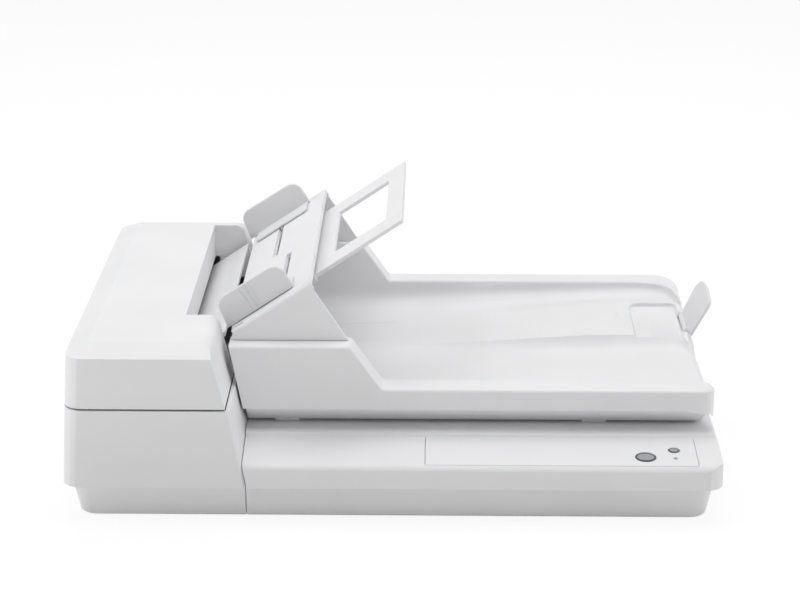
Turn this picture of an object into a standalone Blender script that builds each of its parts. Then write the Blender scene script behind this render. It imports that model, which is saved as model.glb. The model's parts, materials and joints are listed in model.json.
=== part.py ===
"""Flatbed scanner with a sheet feeder tower on its left side.

The origin is the middle of the object's box on the table; X runs to the right, Y to the back, Z up.
Every number below is in millimetres and degrees; the mesh builders scale by MM to metres.
"""
import math

import bmesh
import bpy
from mathutils import Matrix, Vector

MM = 0.001
GAP = 0.4                       # clearance between two pieces that touch

# ---- base and feeder tower -------------------------------------------------
LEFT, RIGHT = -231.2, 224.2     # sides of the base at its flange
FRONT, BACK = -159.0, 159.0
FEET = 0.8                      # how far the rubber feet stand out
FLANGE_Z = 25.1                 # underside of the flange round the base
TAPER_TOP, TAPER_LOW, TAPER_FLOOR = 6.2, 10.2, 11.4   # how far the lower base is set in
EDGE_LOW_Z = 2.2
FOOT_X = {"left": -205.0, "right": 198.0}
FOOT_Y = {"front": -132.0, "back": 132.0}
FOOT_RADIUS = 8.0
CORNER = 14.0                   # radius of the vertical corners
WALL = 2.5
SEAM_Z, COVER_Z = 81.4, 82.4    # top of the lower tower, underside of the cover
CHAMFER_Z, TOWER_TOP = 118.7, 125.6
CHAMFER = 17.5
SIDE_DRAFT = 0.058              # lean of the tower's left side
TOWER_RIGHT, TOWER_SLOPE = -103.9, 0.182     # right side of the lower tower at the flange
COVER_RIGHT, COVER_SLOPE = -117.0, 0.239     # right side of the cover at its underside
COVER_EDGE = 8.0                # radius along the cover's right top edge
BASE_SPLIT = -104.9             # seam between the two lower trays
NOTCH_X, NOTCH_FRONT, NOTCH_BACK = -149.6, -85.0, 134.0
COVER_HINGE = (LEFT + 5.0, COVER_Z + 3.0)    # x, z of the line the cover swings about
COVER_LUG = 14.0                             # half the width of the tower's hinge lug

# ---- flatbed ---------------------------------------------------------------
FACE_TOP = 37.3                 # top of the flat front face
PANEL_FRONT_Y, PANEL_FRONT_Z = -154.0, 42.3
PANEL_BACK_Y, PANEL_BACK_Z = -113.4, 45.6
FRAME_Y, FRAME_Z = -111.3, 47.8
PANEL = (18.7, 206.5, -154.4, -114.6)        # operator panel: x from, x to, y from, y to
GLASS = (-88.0, 208.0, -79.0, 139.0)         # clear scanning glass
SCAN_BUTTON = (170.8, -142.4, 7.0)           # x, y, radius
POWER_BUTTON = (191.1, -131.8, 3.8)
STATUS_LED = (191.2, -144.0, 1.2)
PANEL_THICK = 2.6
BUTTON_STAND = 0.4                           # how far the buttons stand out of the panel
RAIL = (34.0, 21.0)                          # y, z of the rod the scan carriage slides on
RAIL_POSTS = ((-102.5, -97.0), (210.5, 214.5))    # x ranges of the posts that hold the rod
RAIL_ENDS = (-99.1, 213.1)
CARRIAGE_X = -86.0                           # middle of the carriage where it parks
PULLEY_X = (-92.0, 204.0)
BELT_Y, BELT_Z, PULLEY_RADIUS = 56.0, 23.0, 6.0

# ---- document cover --------------------------------------------------------
LID_LEFT, LID_SLOPE = -109.1, 0.199          # left side at the wall's lower edge
LID_RIGHT, LID_FRONT, LID_BACK = 221.5, -108.0, 158.5
LID_WALL_Z, RIM_Z, SHOULDER_Z = 64.0, 78.6, 110.2
RIM_INNER_FRONT, RIM_INNER_BACK = -85.0, 139.0
SHOULDER_X, RAMP_X = -33.6, -11.5            # the high walls end, the ramp reaches the rim
FLOOR_LEFT_Z, FLOOR_RIGHT_Z, PLATEAU_Z = 60.0, 72.5, 79.0
PLATEAU_X = (-5.8, 147.0)                    # the raised middle starts, and is full height
SKIN = 3.0
END_RADIUS = 5.0                # the round edge at the right end
PLATEAU_TILT = 2.0              # how much lower the raised middle's front edge is than its back
LID_HINGE = (151.0, 57.0)                    # y, z of the hinge line
LID_HINGE_X = (-60.0, 165.0)

CORNER_RIM = (
    (184.0, 140.5), (197.0, 136.5), (205.0, 133.0), (211.0, 127.0), (215.5, 119.0), (217.6, 109.0),
    (218.4, 100.0), (220.0, 97.0), (223.0, 97.0), (223.0, 157.0), (184.0, 157.0),
)                                            # plan of the rim where it turns round the back right corner

# ---- paper chute -----------------------------------------------------------
CHUTE_SLOPE = math.radians(33.7)
CHUTE_APEX = (-62.3, 153.3)                  # x, z of the top of its surface
CHUTE_LOW_X = -117.6
CHUTE_FRONT, CHUTE_BACK = -95.0, 145.0
RAMP_END = -122.6                            # x where the feeder's own ramp takes over
CHUTE_HINGE = (-114.0, 113.4)                # x, z of the line it lifts about
CHUTE_EARS = ((-92.0, -88.8), (139.2, 142.0))   # y ranges of the cover's ears that hold the rod
PAPER_MIDDLE = 25.0                          # y of the middle of the paper path
PAPER_HALF = 105.5                           # half the guides' spacing, for A4 sheets
EXTENSION_REACH = 71.5
TRAY_HALF, TRAY_LOW, TRAY_TOP = 79.0, -10.2, -7.4        # half width, and heights off the chute's surface
PINION_ALONG = 32.0                          # the pinion's distance down from the chute's top

# ---- stopper ---------------------------------------------------------------
STOPPER_HINGE = (214.4, 77.4)
STOPPER_LEAN = math.radians(27.0)
STOPPER_Y = (9.0, 67.0)                      # its blade from front to back
STOPPER_BARREL = (28.0, 60.0)                # the part of it that turns on the pin
STOPPER_LENGTH = 34.83
STOPPER_HALF = 1.1                           # half the blade's thickness
EAR_RADIUS = 2.6
RECESS = (175.6, 7.0, 85.6, 75.6)            # left, front, back and floor of the well it folds into

# ---- paper path inside the tower -------------------------------------------
UPPER_PATH, LOWER_PATH = 92.0, 64.0
PATH_Y = (-83.0, 132.0)
PATH_RADIUS = (UPPER_PATH - LOWER_PATH) / 2
DRUM = (-194.0, LOWER_PATH + PATH_RADIUS)    # x, z of each roller's axis
LOWER_PINCH = (-194.0, LOWER_PATH - 6.4)
UPPER_PINCH = (-194.0, UPPER_PATH + 6.4)
PICK = (-164.5, UPPER_PATH + 11.4)
SEPARATION = (-164.5, UPPER_PATH - 9.4)
EXIT = (-126.0, LOWER_PATH + 7.4)
FEED_MOTOR = (-150.0, 33.0)
DRUM_SHAFT, SHAFT = 3.0, 2.5                 # radii of the rollers' shafts

MATERIALS = {}


# ---- materials -------------------------------------------------------------
def material(name, colour, roughness, metallic=0.0):
    mat = bpy.data.materials.new(name)
    mat.use_nodes = True
    shader = mat.node_tree.nodes["Principled BSDF"]
    shader.inputs["Base Color"].default_value = (*colour, 1.0)
    shader.inputs["Roughness"].default_value = roughness
    shader.inputs["Metallic"].default_value = metallic
    MATERIALS[name] = mat


def make_materials():
    material("body_plastic", (0.80, 0.80, 0.81), 0.5)
    material("guide_plastic", (0.66, 0.66, 0.68), 0.5)
    material("button_plastic", (0.38, 0.39, 0.41), 0.4)
    material("black_plastic", (0.03, 0.03, 0.032), 0.5)
    material("gear_plastic", (0.72, 0.70, 0.62), 0.45)
    material("rubber", (0.05, 0.05, 0.05), 0.85)
    material("roller_rubber", (0.22, 0.23, 0.26), 0.8)
    material("white_foam", (0.86, 0.86, 0.85), 0.9)
    material("glass", (0.75, 0.80, 0.79), 0.05)
    material("steel", (0.60, 0.60, 0.61), 0.3, 1.0)
    material("circuit_board", (0.05, 0.22, 0.10), 0.5)
    material("lamp_lens", (0.25, 0.55, 0.30), 0.2)


# ---- mesh builders ---------------------------------------------------------
def scaled(points):
    return [Vector(p) * MM for p in points]


def loft(rings):
    """A closed body through rings of equally many points, each ring anticlockwise seen from its end."""
    bm = bmesh.new()
    loops = [[bm.verts.new(p) for p in scaled(ring)] for ring in rings]
    count = len(loops[0])
    for lower, upper in zip(loops, loops[1:]):
        for i in range(count):
            j = (i + 1) % count
            bm.faces.new((lower[i], lower[j], upper[j], upper[i]))
    bm.faces.new(list(reversed(loops[0])))
    bm.faces.new(loops[-1])
    bmesh.ops.recalc_face_normals(bm, faces=bm.faces)
    return bm


def prism(axis, outline, low, high):
    """An outline pushed along X, Y or Z; the outline gives the other two coordinates in order."""
    place = {
        "X": lambda a, b, t: (t, a, b),
        "Y": lambda a, b, t: (a, t, b),
        "Z": lambda a, b, t: (a, b, t),
    }[axis]
    return loft([[place(a, b, t) for a, b in outline] for t in (low, high)])


def block(x0, x1, y0, y1, z0, z1):
    return prism("Z", [(x0, y0), (x1, y0), (x1, y1), (x0, y1)], z0, z1)


def circle(centre, radius, count=24):
    angles = [2 * math.pi * i / count for i in range(count)]
    return [(centre[0] + radius * math.cos(a), centre[1] + radius * math.sin(a)) for a in angles]


def rod(axis, centre, radius, low, high, count=24):
    return prism(axis, circle(centre, radius, count), low, high)


def arc(centre, radius, start, end, steps):
    """Points on an arc, angles in degrees."""
    angles = [math.radians(start + (end - start) * i / steps) for i in range(steps + 1)]
    return [(centre[0] + radius * math.cos(a), centre[1] + radius * math.sin(a)) for a in angles]


def rounded(x0, x1, y0, y1, radii, steps=5):
    """A rectangle with four corner radii: front left, front right, back right, back left."""
    a, b, c, d = radii
    points = arc((x0 + a, y0 + a), a, 180, 270, steps)
    points += arc((x1 - b, y0 + b), b, 270, 360, steps)
    points += arc((x1 - c, y1 - c), c, 0, 90, steps)
    points += arc((x0 + d, y1 - d), d, 90, 180, steps)
    return points


def ring_at(z, outline):
    return [(x, y, z) for x, y in outline]


# ---- objects ---------------------------------------------------------------
def add(name, bm, mat, pivot=(0, 0, 0), smooth=False):
    mesh = bpy.data.meshes.new(name)
    bm.to_mesh(mesh)
    bm.free()
    piece = bpy.data.objects.new(name, mesh)
    bpy.context.scene.collection.objects.link(piece)
    mesh.materials.append(MATERIALS[mat])
    set_pivot(piece, pivot)
    if smooth:
        mesh.shade_smooth()
        mesh.set_sharp_from_angle(angle=math.radians(35))
    return piece


def set_pivot(piece, pivot):
    point = Vector(pivot) * MM
    piece.data.transform(Matrix.Translation(-point))
    piece.location = point


def combine(bm, other, operation):
    """The Boolean of two closed bodies, as a new body."""
    pair = []
    for source in (bm, other):
        mesh = bpy.data.meshes.new("working")
        source.to_mesh(mesh)
        source.free()
        piece = bpy.data.objects.new("working", mesh)
        bpy.context.scene.collection.objects.link(piece)
        pair.append(piece)
    modifier = pair[0].modifiers.new("Boolean", "BOOLEAN")
    modifier.operation = operation
    modifier.solver = "EXACT"
    modifier.object = pair[1]
    pair[1].hide_render = True
    pair[1].display_type = "WIRE"
    view = bpy.context.evaluated_depsgraph_get()
    solid = bpy.data.meshes.new_from_object(pair[0].evaluated_get(view))
    result = bmesh.new()
    result.from_mesh(solid)
    used = [piece.data for piece in pair] + [solid]
    for piece in pair:
        bpy.data.objects.remove(piece)
    for mesh in used:
        bpy.data.meshes.remove(mesh)
    bmesh.ops.remove_doubles(result, verts=result.verts, dist=1e-6)
    bmesh.ops.dissolve_limit(result, angle_limit=0.002, verts=result.verts, edges=result.edges)
    return result


def cut(bm, *cutters):
    for cutter in cutters:
        bm = combine(bm, cutter, "DIFFERENCE")
    return bm


def join(bm, *others):
    for other in others:
        bm = combine(bm, other, "UNION")
    return bm


def common(bm, *others):
    for other in others:
        bm = combine(bm, other, "INTERSECT")
    return bm


# ---- lower base ------------------------------------------------------------
def base_outline(inset, x0, x1, left_radius, right_radius):
    radii = (left_radius, right_radius, right_radius, left_radius)
    return rounded(x0, x1, FRONT + inset, BACK - inset, radii)


def taper_levels(wall):
    """Heights and insets of the lower base, or of its inside when wall is above zero."""
    if wall:
        floor = (FEET + wall, TAPER_FLOOR + 1)
        return [floor, (EDGE_LOW_Z + 2, TAPER_LOW + wall), (FLANGE_Z + 1, TAPER_TOP + wall)]
    return [(FEET, TAPER_FLOOR), (EDGE_LOW_Z, TAPER_LOW), (FLANGE_Z - GAP, TAPER_TOP)]


def make_bottom_tray():
    def body(wall):
        return loft([
            ring_at(z, base_outline(inset, BASE_SPLIT + GAP + wall, RIGHT - inset, 0.8, 11.0))
            for z, inset in taper_levels(wall)
        ])
    tray = cut(body(0), body(WALL), *foot_pockets("right"))
    y = RAIL[0]
    for x0, x1 in RAIL_POSTS:
        tray = join(tray, block(x0, x1, y - 7, y + 7, 12.0, 29.0))
    tray = cut(tray, rod("X", RAIL, 3.3, RAIL_ENDS[0] - GAP, RAIL_ENDS[1] + GAP))
    for x in PULLEY_X:
        tray = join(tray, block(x - 4, x + 4, BELT_Y - 13, BELT_Y - 9, FEET + 1, BELT_Z + 4))
        tray = join(tray, rod("Y", (x, BELT_Z), 1.6, BELT_Y - 9.6, BELT_Y + 5, 16))
    add("bottom_tray", tray, "body_plastic")


def tower_side(z, wall=0.0):
    """Left and right x of the lower tower at a height above the flange."""
    left = LEFT + SIDE_DRAFT * (z - FLANGE_Z) + wall
    right = TOWER_RIGHT - TOWER_SLOPE * (z - FLANGE_Z) - wall
    return left, right


def make_tower_shell():
    outer = [
        ring_at(z, base_outline(inset, LEFT + inset, BASE_SPLIT, 11.0, 0.8))
        for z, inset in taper_levels(0)
    ]
    for z in (FLANGE_Z, SEAM_Z):
        outer.append(ring_at(z, base_outline(0, *tower_side(z), CORNER, 3.0)))
    inner = [
        ring_at(z, base_outline(inset, LEFT + inset, BASE_SPLIT - WALL, 9.0, 0.8))
        for z, inset in taper_levels(WALL)
    ]
    for z in (FLANGE_Z + 4, SEAM_Z + 2):
        inner.append(ring_at(z, base_outline(WALL, *tower_side(z, WALL), CORNER - WALL, 1.0)))
    exit_slot = block(-125, -95, PATH_Y[0] - 1, PATH_Y[1] + 1, LOWER_PATH - 2.0, 73)
    cable_hole = block(-112, -98, 20, 60, 10, 20)
    socket = block(-215, -203, 150, 165, 34, 44)
    usb = block(-190, -176, 150, 165, 33.6, 42.4)
    shell = cut(loft(outer), loft(inner), exit_slot, cable_hole, socket, usb, *foot_pockets("left"))
    x, z = COVER_HINGE
    shell = join(
        shell,
        block(x - 1.3, x + 2.3, -COVER_LUG, COVER_LUG, SEAM_Z - 7, z),
        rod("Y", COVER_HINGE, 2.3, -COVER_LUG + 0.1, COVER_LUG - 0.1, 16),
    )
    shell = cut(shell, rod("Y", COVER_HINGE, 1.3, -COVER_LUG - 5, COVER_LUG + 5, 16))
    add("tower_shell", shell, "body_plastic")


# ---- flatbed shell ---------------------------------------------------------
def panel_z(y):
    """Height of the sloping panel at a depth."""
    share = (y - PANEL_FRONT_Y) / (PANEL_BACK_Y - PANEL_FRONT_Y)
    return PANEL_FRONT_Z + share * (PANEL_BACK_Z - PANEL_FRONT_Z)


def bed_solid(inset, drop, low):
    """The flatbed's upper shell as a solid, set in from every side and lowered for its inside."""
    front, back = FRONT + inset, BACK - inset
    radius = PANEL_FRONT_Z - FACE_TOP
    side = [(front, low), (back, low), (back, FRAME_Z - 2 - drop), (back - 2, FRAME_Z - drop)]
    side += [(FRAME_Y, FRAME_Z - drop), (PANEL_BACK_Y, PANEL_BACK_Z - drop)]
    side += arc((front + radius, FACE_TOP - drop), radius, 90, 180, 5)
    right = RIGHT - inset
    left = TOWER_RIGHT + 0.6 + inset
    across = [(left - TOWER_SLOPE * (low - FLANGE_Z), low), (right, low), (right - 0.9, 42 - drop)]
    across += arc((right - 4.9, 44.0 - drop), 4.0, 15, 80, 4)
    across += [(right - 8.0, 60 - drop), (left - TOWER_SLOPE * (60 - FLANGE_Z), 60 - drop)]
    corner = CORNER - inset
    plan = rounded(-130, right, front, back, (0.5, corner, corner, 0.5))
    return common(prism("X", side, -140, 240), prism("Y", across, -170, 170), prism("Z", plan, low - 1, 70))


def make_bed_shell():
    x0, x1, y0, y1 = PANEL
    shell = cut(bed_solid(0, 0, FLANGE_Z), bed_solid(WALL, WALL + 2.1, FLANGE_Z - 3))
    ledge = PANEL_THICK + GAP
    pocket = [(y0, panel_z(y0) - ledge), (y1, panel_z(y1) - ledge), (y1, 60), (y0, 60)]
    shell = cut(
        shell,
        prism("X", pocket, x0, x1),
        block(x0 + 3, x1 - 3, y0 + 3, y1 - 3, 34, 50),
        block(GLASS[0], GLASS[1], GLASS[2], GLASS[3], 38, 60),
        block(GLASS[0] - 4, GLASS[1] + 4, GLASS[2] - 4, GLASS[3] + 4, FRAME_Z - 2.5, 60),
        block(-112, -98, 20, 60, 20, 30),
    )
    add("bed_shell", shell, "body_plastic")


def make_glass():
    x0, x1, y0, y1 = GLASS
    plate = block(x0 - 3.6, x1 + 3.6, y0 - 3.6, y1 + 3.6, FRAME_Z - 2.2, FRAME_Z - 0.2)
    add("document_glass", plate, "glass")


def make_operator_panel():
    x0, x1, y0, y1 = PANEL
    y0, y1 = y0 + GAP, y1 - GAP
    low0, low1 = panel_z(y0) - PANEL_THICK, panel_z(y1) - PANEL_THICK
    outline = [(y0, low0), (y1, low1), (y1, panel_z(y1)), (y0, panel_z(y0))]
    plate = prism("X", outline, x0 + GAP, x1 - GAP)
    for x, y, radius in (SCAN_BUTTON, POWER_BUTTON, STATUS_LED):
        plate = cut(plate, rod("Z", (x, y), radius + GAP, 30, 60))
    add("operator_panel", plate, "body_plastic")


def make_button(name, place):
    x, y, radius = place
    top = panel_z(y) + BUTTON_STAND
    stem = radius * 0.45
    profile = ((36.0, stem), (40.0, stem), (40.4, radius), (top - 0.6, radius), (top, radius - 0.7))
    cap = loft([ring_at(z, circle((x, y), r)) for z, r in profile])
    add(name, cap, "button_plastic", (x, y, top), smooth=True)


def make_led():
    x, y, radius = STATUS_LED
    add("status_led", rod("Z", (x, y), radius, 37, panel_z(y) + 0.2, 16), "lamp_lens", smooth=True)


def foot_pockets(side):
    """The shallow round wells under the base that hold the feet of one side."""
    return [rod("Z", (FOOT_X[side], y), FOOT_RADIUS + GAP, -2, FEET + 1.2) for y in FOOT_Y.values()]


def make_feet():
    profile = ((0, FOOT_RADIUS - 1.0), (0.6, FOOT_RADIUS), (FEET + 0.8, FOOT_RADIUS))
    for row, y in FOOT_Y.items():
        for side, x in FOOT_X.items():
            foot = loft([ring_at(z, circle((x, y), r)) for z, r in profile])
            add(f"foot_{row}_{side}", foot, "rubber", smooth=True)


# ---- flatbed works ---------------------------------------------------------
def make_scan_works():
    rail_y = RAIL[0]
    add("carriage_rail", rod("X", RAIL, 3.0, *RAIL_ENDS), "steel", smooth=True)
    x = CARRIAGE_X
    carriage = block(x - 12, x + 12, -76, 136, 31.2, 41.5)
    carriage = join(carriage, block(x - 5, x + 5, rail_y - 7, rail_y + 7, 14, 32))
    carriage = cut(carriage, rod("X", RAIL, 3.4, x - 20, x + 20))
    carriage = cut(carriage, block(x - 3, x + 3, -72, 132, 39.5, 50))
    add("scan_carriage", carriage, "black_plastic", (x, 30, 35))
    for name, x in zip(("drive_pulley", "idler_pulley"), PULLEY_X):
        wheel = rod("Y", (x, BELT_Z), PULLEY_RADIUS, BELT_Y - 3.5, BELT_Y + 3.5, 20)
        wheel = cut(wheel, rod("Y", (x, BELT_Z), 2.0, BELT_Y - 9, BELT_Y + 9, 16))
        add(name, wheel, "gear_plastic", (x, BELT_Y, BELT_Z), smooth=True)
    loop = prism("Y", belt_outline(PULLEY_RADIUS + 1.6), BELT_Y - 3, BELT_Y + 3)
    inside = prism("Y", belt_outline(PULLEY_RADIUS + 0.4), BELT_Y - 5, BELT_Y + 5)
    add("carriage_belt", cut(loop, inside), "rubber")
    motor = rod("Y", (PULLEY_X[0], BELT_Z), 7.6, BELT_Y + 6, BELT_Y + 26, 24)
    add("carriage_motor", motor, "steel", smooth=True)


def belt_outline(radius):
    """The carriage belt's path round its two pulleys, at a radius from their middles."""
    return arc((PULLEY_X[0], BELT_Z), radius, 90, 270, 8) + arc((PULLEY_X[1], BELT_Z), radius, -90, 90, 8)


def make_electronics():
    add("main_board", block(-205, -125, 60, 142, 12.0, 13.6), "circuit_board")
    power = block(-214, -204, 146, 158.6, 34.6, 43.4)
    add("power_socket", cut(power, rod("Y", (-209, 39), 3.0, 149, 165, 16)), "black_plastic")
    usb = block(-189.4, -176.6, 146, 158.6, 34.2, 41.8)
    add("usb_socket", cut(usb, block(-187.6, -178.4, 149, 165, 35.6, 40.4)), "steel")


# ---- feeder tower works ----------------------------------------------------
def make_adf_frame():
    """Two side plates joined by cross bars: what the rollers run in."""
    front, back = PATH_Y[0] - 9, PATH_Y[1] + 5
    outline = [(-221, 20), (-122, 20), (-115, 56), (-117, 79.5), (-221, 79.5)]
    frame = join(
        prism("Y", outline, front, front + 4),
        prism("Y", outline, back, back + 4),
        block(-205, -195, front + 3, back + 1, 22, 30),
        block(-131, -124, front + 3, back + 1, 22, 30),
    )
    for centre, radius in ((DRUM, DRUM_SHAFT), (LOWER_PINCH, SHAFT), (EXIT, SHAFT)):
        frame = cut(frame, rod("Y", centre, radius + GAP, front - 5, back + 9, 16))
    frame = cut(frame, rod("Y", FEED_MOTOR, 2.6, back - 5, back + 9, 16))
    add("feeder_frame", frame, "black_plastic")


def roller(name, centre, radius, shaft, reach, bands):
    """A shaft with rubber bands, as one turned body along Y."""
    body = rod("Y", centre, shaft, reach[0], reach[1], 16)
    for low, high in bands:
        body = join(body, rod("Y", centre, radius, low, high, 28))
    add(name, body, "roller_rubber", (centre[0], PAPER_MIDDLE, centre[1]), smooth=True)


def make_rollers():
    middle = PAPER_MIDDLE
    through = (PATH_Y[0] - 11, PATH_Y[1] + 15)
    wide = [(middle - 92, middle + 92)]
    pads = [(middle + s * 50 - 14, middle + s * 50 + 14) for s in (-1, 1)]
    narrow = [(middle - 20, middle + 20)]
    roller("feed_drum", DRUM, PATH_RADIUS - GAP, DRUM_SHAFT, through, wide)
    roller("lower_pinch_roller", LOWER_PINCH, 6.0, SHAFT, (through[0] + 1, PATH_Y[1] + 9), pads)
    roller("exit_roller", EXIT, 7.0, SHAFT, through, pads)
    roller("pick_roller", PICK, 11.0, DRUM_SHAFT, (middle - 31, middle + 31), narrow)
    roller("upper_pinch_roller", UPPER_PINCH, 6.0, SHAFT, (middle - 87, middle + 87), pads)
    roller("separation_roller", SEPARATION, 9.0, SHAFT, (middle - 31, middle + 31), narrow)


def toothed_wheel(name, centre, teeth, radius, bore, low, high):
    """A toothed pulley along Y with a bore for its shaft."""
    outline = []
    for i in range(teeth):
        for share, r in ((0.0, radius - 1.0), (0.3, radius - 1.0), (0.42, radius), (0.78, radius)):
            angle = 2 * math.pi * (i + share) / teeth
            outline.append((centre[0] + r * math.cos(angle), centre[1] + r * math.sin(angle)))
    body = prism("Y", outline, low, high)
    body = cut(body, rod("Y", centre, bore, low - 2, high + 2, 16))
    add(name, body, "gear_plastic", (centre[0], (low + high) / 2, centre[1]))


def wrapped(circles, steps=12):
    """The outline of a belt round circles (x, z, radius), anticlockwise: the hull of their points."""
    points = []
    for x, z, radius in circles:
        points += circle((x, z), radius, 4 * steps)
    points.sort()
    hull = []
    for sweep in (points, points[::-1]):
        part = []
        for p in sweep:
            while len(part) > 1 and turn(part[-2], part[-1], p) <= 1e-6:
                part.pop()
            part.append(p)
        hull += part[:-1]
    return hull


def turn(a, b, c):
    return (b[0] - a[0]) * (c[1] - a[1]) - (b[1] - a[1]) * (c[0] - a[0])


def make_feeder_drive():
    """The motor's pulley drives the drum and the exit roller by one toothed belt."""
    low, high = PATH_Y[1] + 10.0, PATH_Y[1] + 14.0
    wheels = (("drum_pulley", DRUM, 28, 14.0, 3.3), ("exit_pulley", EXIT, 14, 7.0, 2.8),
              ("motor_pulley", FEED_MOTOR, 12, 6.0, 2.3))
    for name, centre, teeth, radius, bore in wheels:
        toothed_wheel(name, centre, teeth, radius, bore, low, high)
    outer = wrapped([(*centre, radius + 1.6) for _, centre, _, radius, _ in wheels])
    inner = wrapped([(*centre, radius + GAP) for _, centre, _, radius, _ in wheels])
    belt = cut(prism("Y", outer, low + 0.5, high - 0.5), prism("Y", inner, low - 2, high + 2))
    add("feeder_belt", belt, "rubber")
    motor = rod("Y", FEED_MOTOR, 14.0, PATH_Y[1] - 32, PATH_Y[1] + 0.5, 24)
    motor = join(motor, rod("Y", FEED_MOTOR, 2.0, PATH_Y[1] - 5, high + 1, 16))
    add("feeder_motor", motor, "steel", smooth=True)


def make_paper_guides():
    y0, y1 = PATH_Y
    slope = math.tan(CHUTE_SLOPE)
    top = CHUTE_APEX[1] + slope * (RAMP_END - CHUTE_APEX[0])
    knee_x = RAMP_END - (top - UPPER_PATH) / slope
    surface = [(-182, UPPER_PATH - 0.8), (knee_x, UPPER_PATH - 0.8), (RAMP_END, top - 0.8)]
    under = [(RAMP_END, top - 4.4), (knee_x + 2, UPPER_PATH - 3.4), (-182, UPPER_PATH - 3.4)]
    ramp = prism("Y", list(reversed(surface + under)), y0 + 1.5, y1 - 1.5)
    pick_x, pick_z = SEPARATION
    for s in (-1, 1):
        cheek = sorted((PAPER_MIDDLE + s * 27.6, PAPER_MIDDLE + s * 30.6))
        ramp = join(ramp, block(pick_x - 4, pick_x + 4, *cheek, pick_z - 4, UPPER_PATH - 2))
    ramp = cut(
        ramp,
        block(pick_x - 12, pick_x + 12, PAPER_MIDDLE - 27, PAPER_MIDDLE + 27, 80, 100),
        rod("Y", SEPARATION, 2.9, PAPER_MIDDLE - 40, PAPER_MIDDLE + 40, 16),
    )
    legs = [block(-150, -146, y, y + 10, 79.9, 93.2) for y in (y0 + 2, y1 - 12)]
    ramp = join(ramp, *legs)
    add("feed_ramp", ramp, "body_plastic")
    bend = arc(DRUM, PATH_RADIUS + 1.6, 114, 250, 14) + arc(DRUM, PATH_RADIUS + 4.0, 250, 114, 14)
    add("turn_guide", prism("Y", bend, y0 + 1.5, y1 - 1.5), "black_plastic")
    guide = block(-184, EXIT[0] + 8, y0 + 1.5, y1 - 1.5, LOWER_PATH - 2.6, LOWER_PATH - 0.8)
    guide = cut(guide, block(-176, -158, y0 + 3, y1 - 3, 58, 70))
    add("lower_paper_guide", guide, "black_plastic")
    add("front_image_sensor", block(-175, -159, y0 + 4, y1 - 4, 48, LOWER_PATH - 1.0), "black_plastic")
    add("back_image_sensor", block(-152, -138, y0 + 4, y1 - 4, LOWER_PATH + 1.2, 75), "black_plastic")


# ---- feeder cover ----------------------------------------------------------
def cover_levels(wall, low):
    """Outlines of the cover from its underside to its flat top; wall sets the inside in."""
    rings = []
    for z, left, inset, radius in (
        (low, LEFT + SIDE_DRAFT * (COVER_Z - FLANGE_Z), 0.0, CORNER),
        (CHAMFER_Z, LEFT + SIDE_DRAFT * (CHAMFER_Z - FLANGE_Z), 0.6, CORNER),
        (TOWER_TOP, LEFT + SIDE_DRAFT * (CHAMFER_Z - FLANGE_Z) + CHAMFER - 2.0, CHAMFER, 1.5),
    ):
        radii = (max(radius - wall, 0.8), 0.8, 0.8, max(radius - wall, 0.8))
        plan = rounded(left + wall, -100, FRONT + inset + wall, BACK - inset - wall, radii)
        rings.append(ring_at(z - (wall if z > low else 0.0), plan))
    return loft(rings)


def cover_right(wall, low):
    """Everything left of the cover's leaning right side, with its round top edge."""
    x = COVER_RIGHT - wall
    lean = math.atan(COVER_SLOPE)
    radius = COVER_EDGE - wall
    centre_z = TOWER_TOP - wall - radius
    side_x = x - COVER_SLOPE * (centre_z + radius * math.sin(lean) - COVER_Z)
    centre_x = side_x - radius * math.cos(lean)
    edge = arc((centre_x, centre_z), radius, math.degrees(lean), 90, 6)
    outline = [(-260, low), (x - COVER_SLOPE * (low - COVER_Z), low), *edge, (centre_x, 140), (-260, 140)]
    return prism("Y", outline, -180, 180)


def make_cover():
    outer = common(cover_levels(0, COVER_Z), cover_right(0, COVER_Z - 1))
    inner = common(cover_levels(WALL, COVER_Z - 3), cover_right(WALL, COVER_Z - 5))
    notch_wall = block(NOTCH_X - WALL, -90, NOTCH_FRONT - WALL, NOTCH_BACK + WALL, UPPER_PATH + 8, 140)
    side_walls = [
        block(-146, -90, NOTCH_FRONT - WALL, NOTCH_FRONT, 70, 140),
        block(-146, -90, NOTCH_BACK, NOTCH_BACK + WALL, 70, 140),
    ]
    inner = cut(inner, notch_wall, *side_walls)
    notch = block(NOTCH_X, -90, NOTCH_FRONT, NOTCH_BACK, 70, 140)
    x, z = COVER_HINGE
    half = COVER_LUG
    cover = cut(outer, inner, notch)
    knuckle = block(LEFT + 4.2, x + 2.8, -half - 12, half + 12, COVER_Z + 0.2, z + 3.0)
    cover = join(cover, knuckle)
    cover = cut(cover, block(-240, x + 3.2, -half - GAP, half + GAP, 70, z + 2.8))
    cover = cut(cover, rod("Y", COVER_HINGE, 1.3, -half - 10, half + 10, 16))
    pivot = (x, 0, z)
    add("feeder_cover", cover, "body_plastic", pivot)
    make_cover_frame(pivot)


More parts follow.
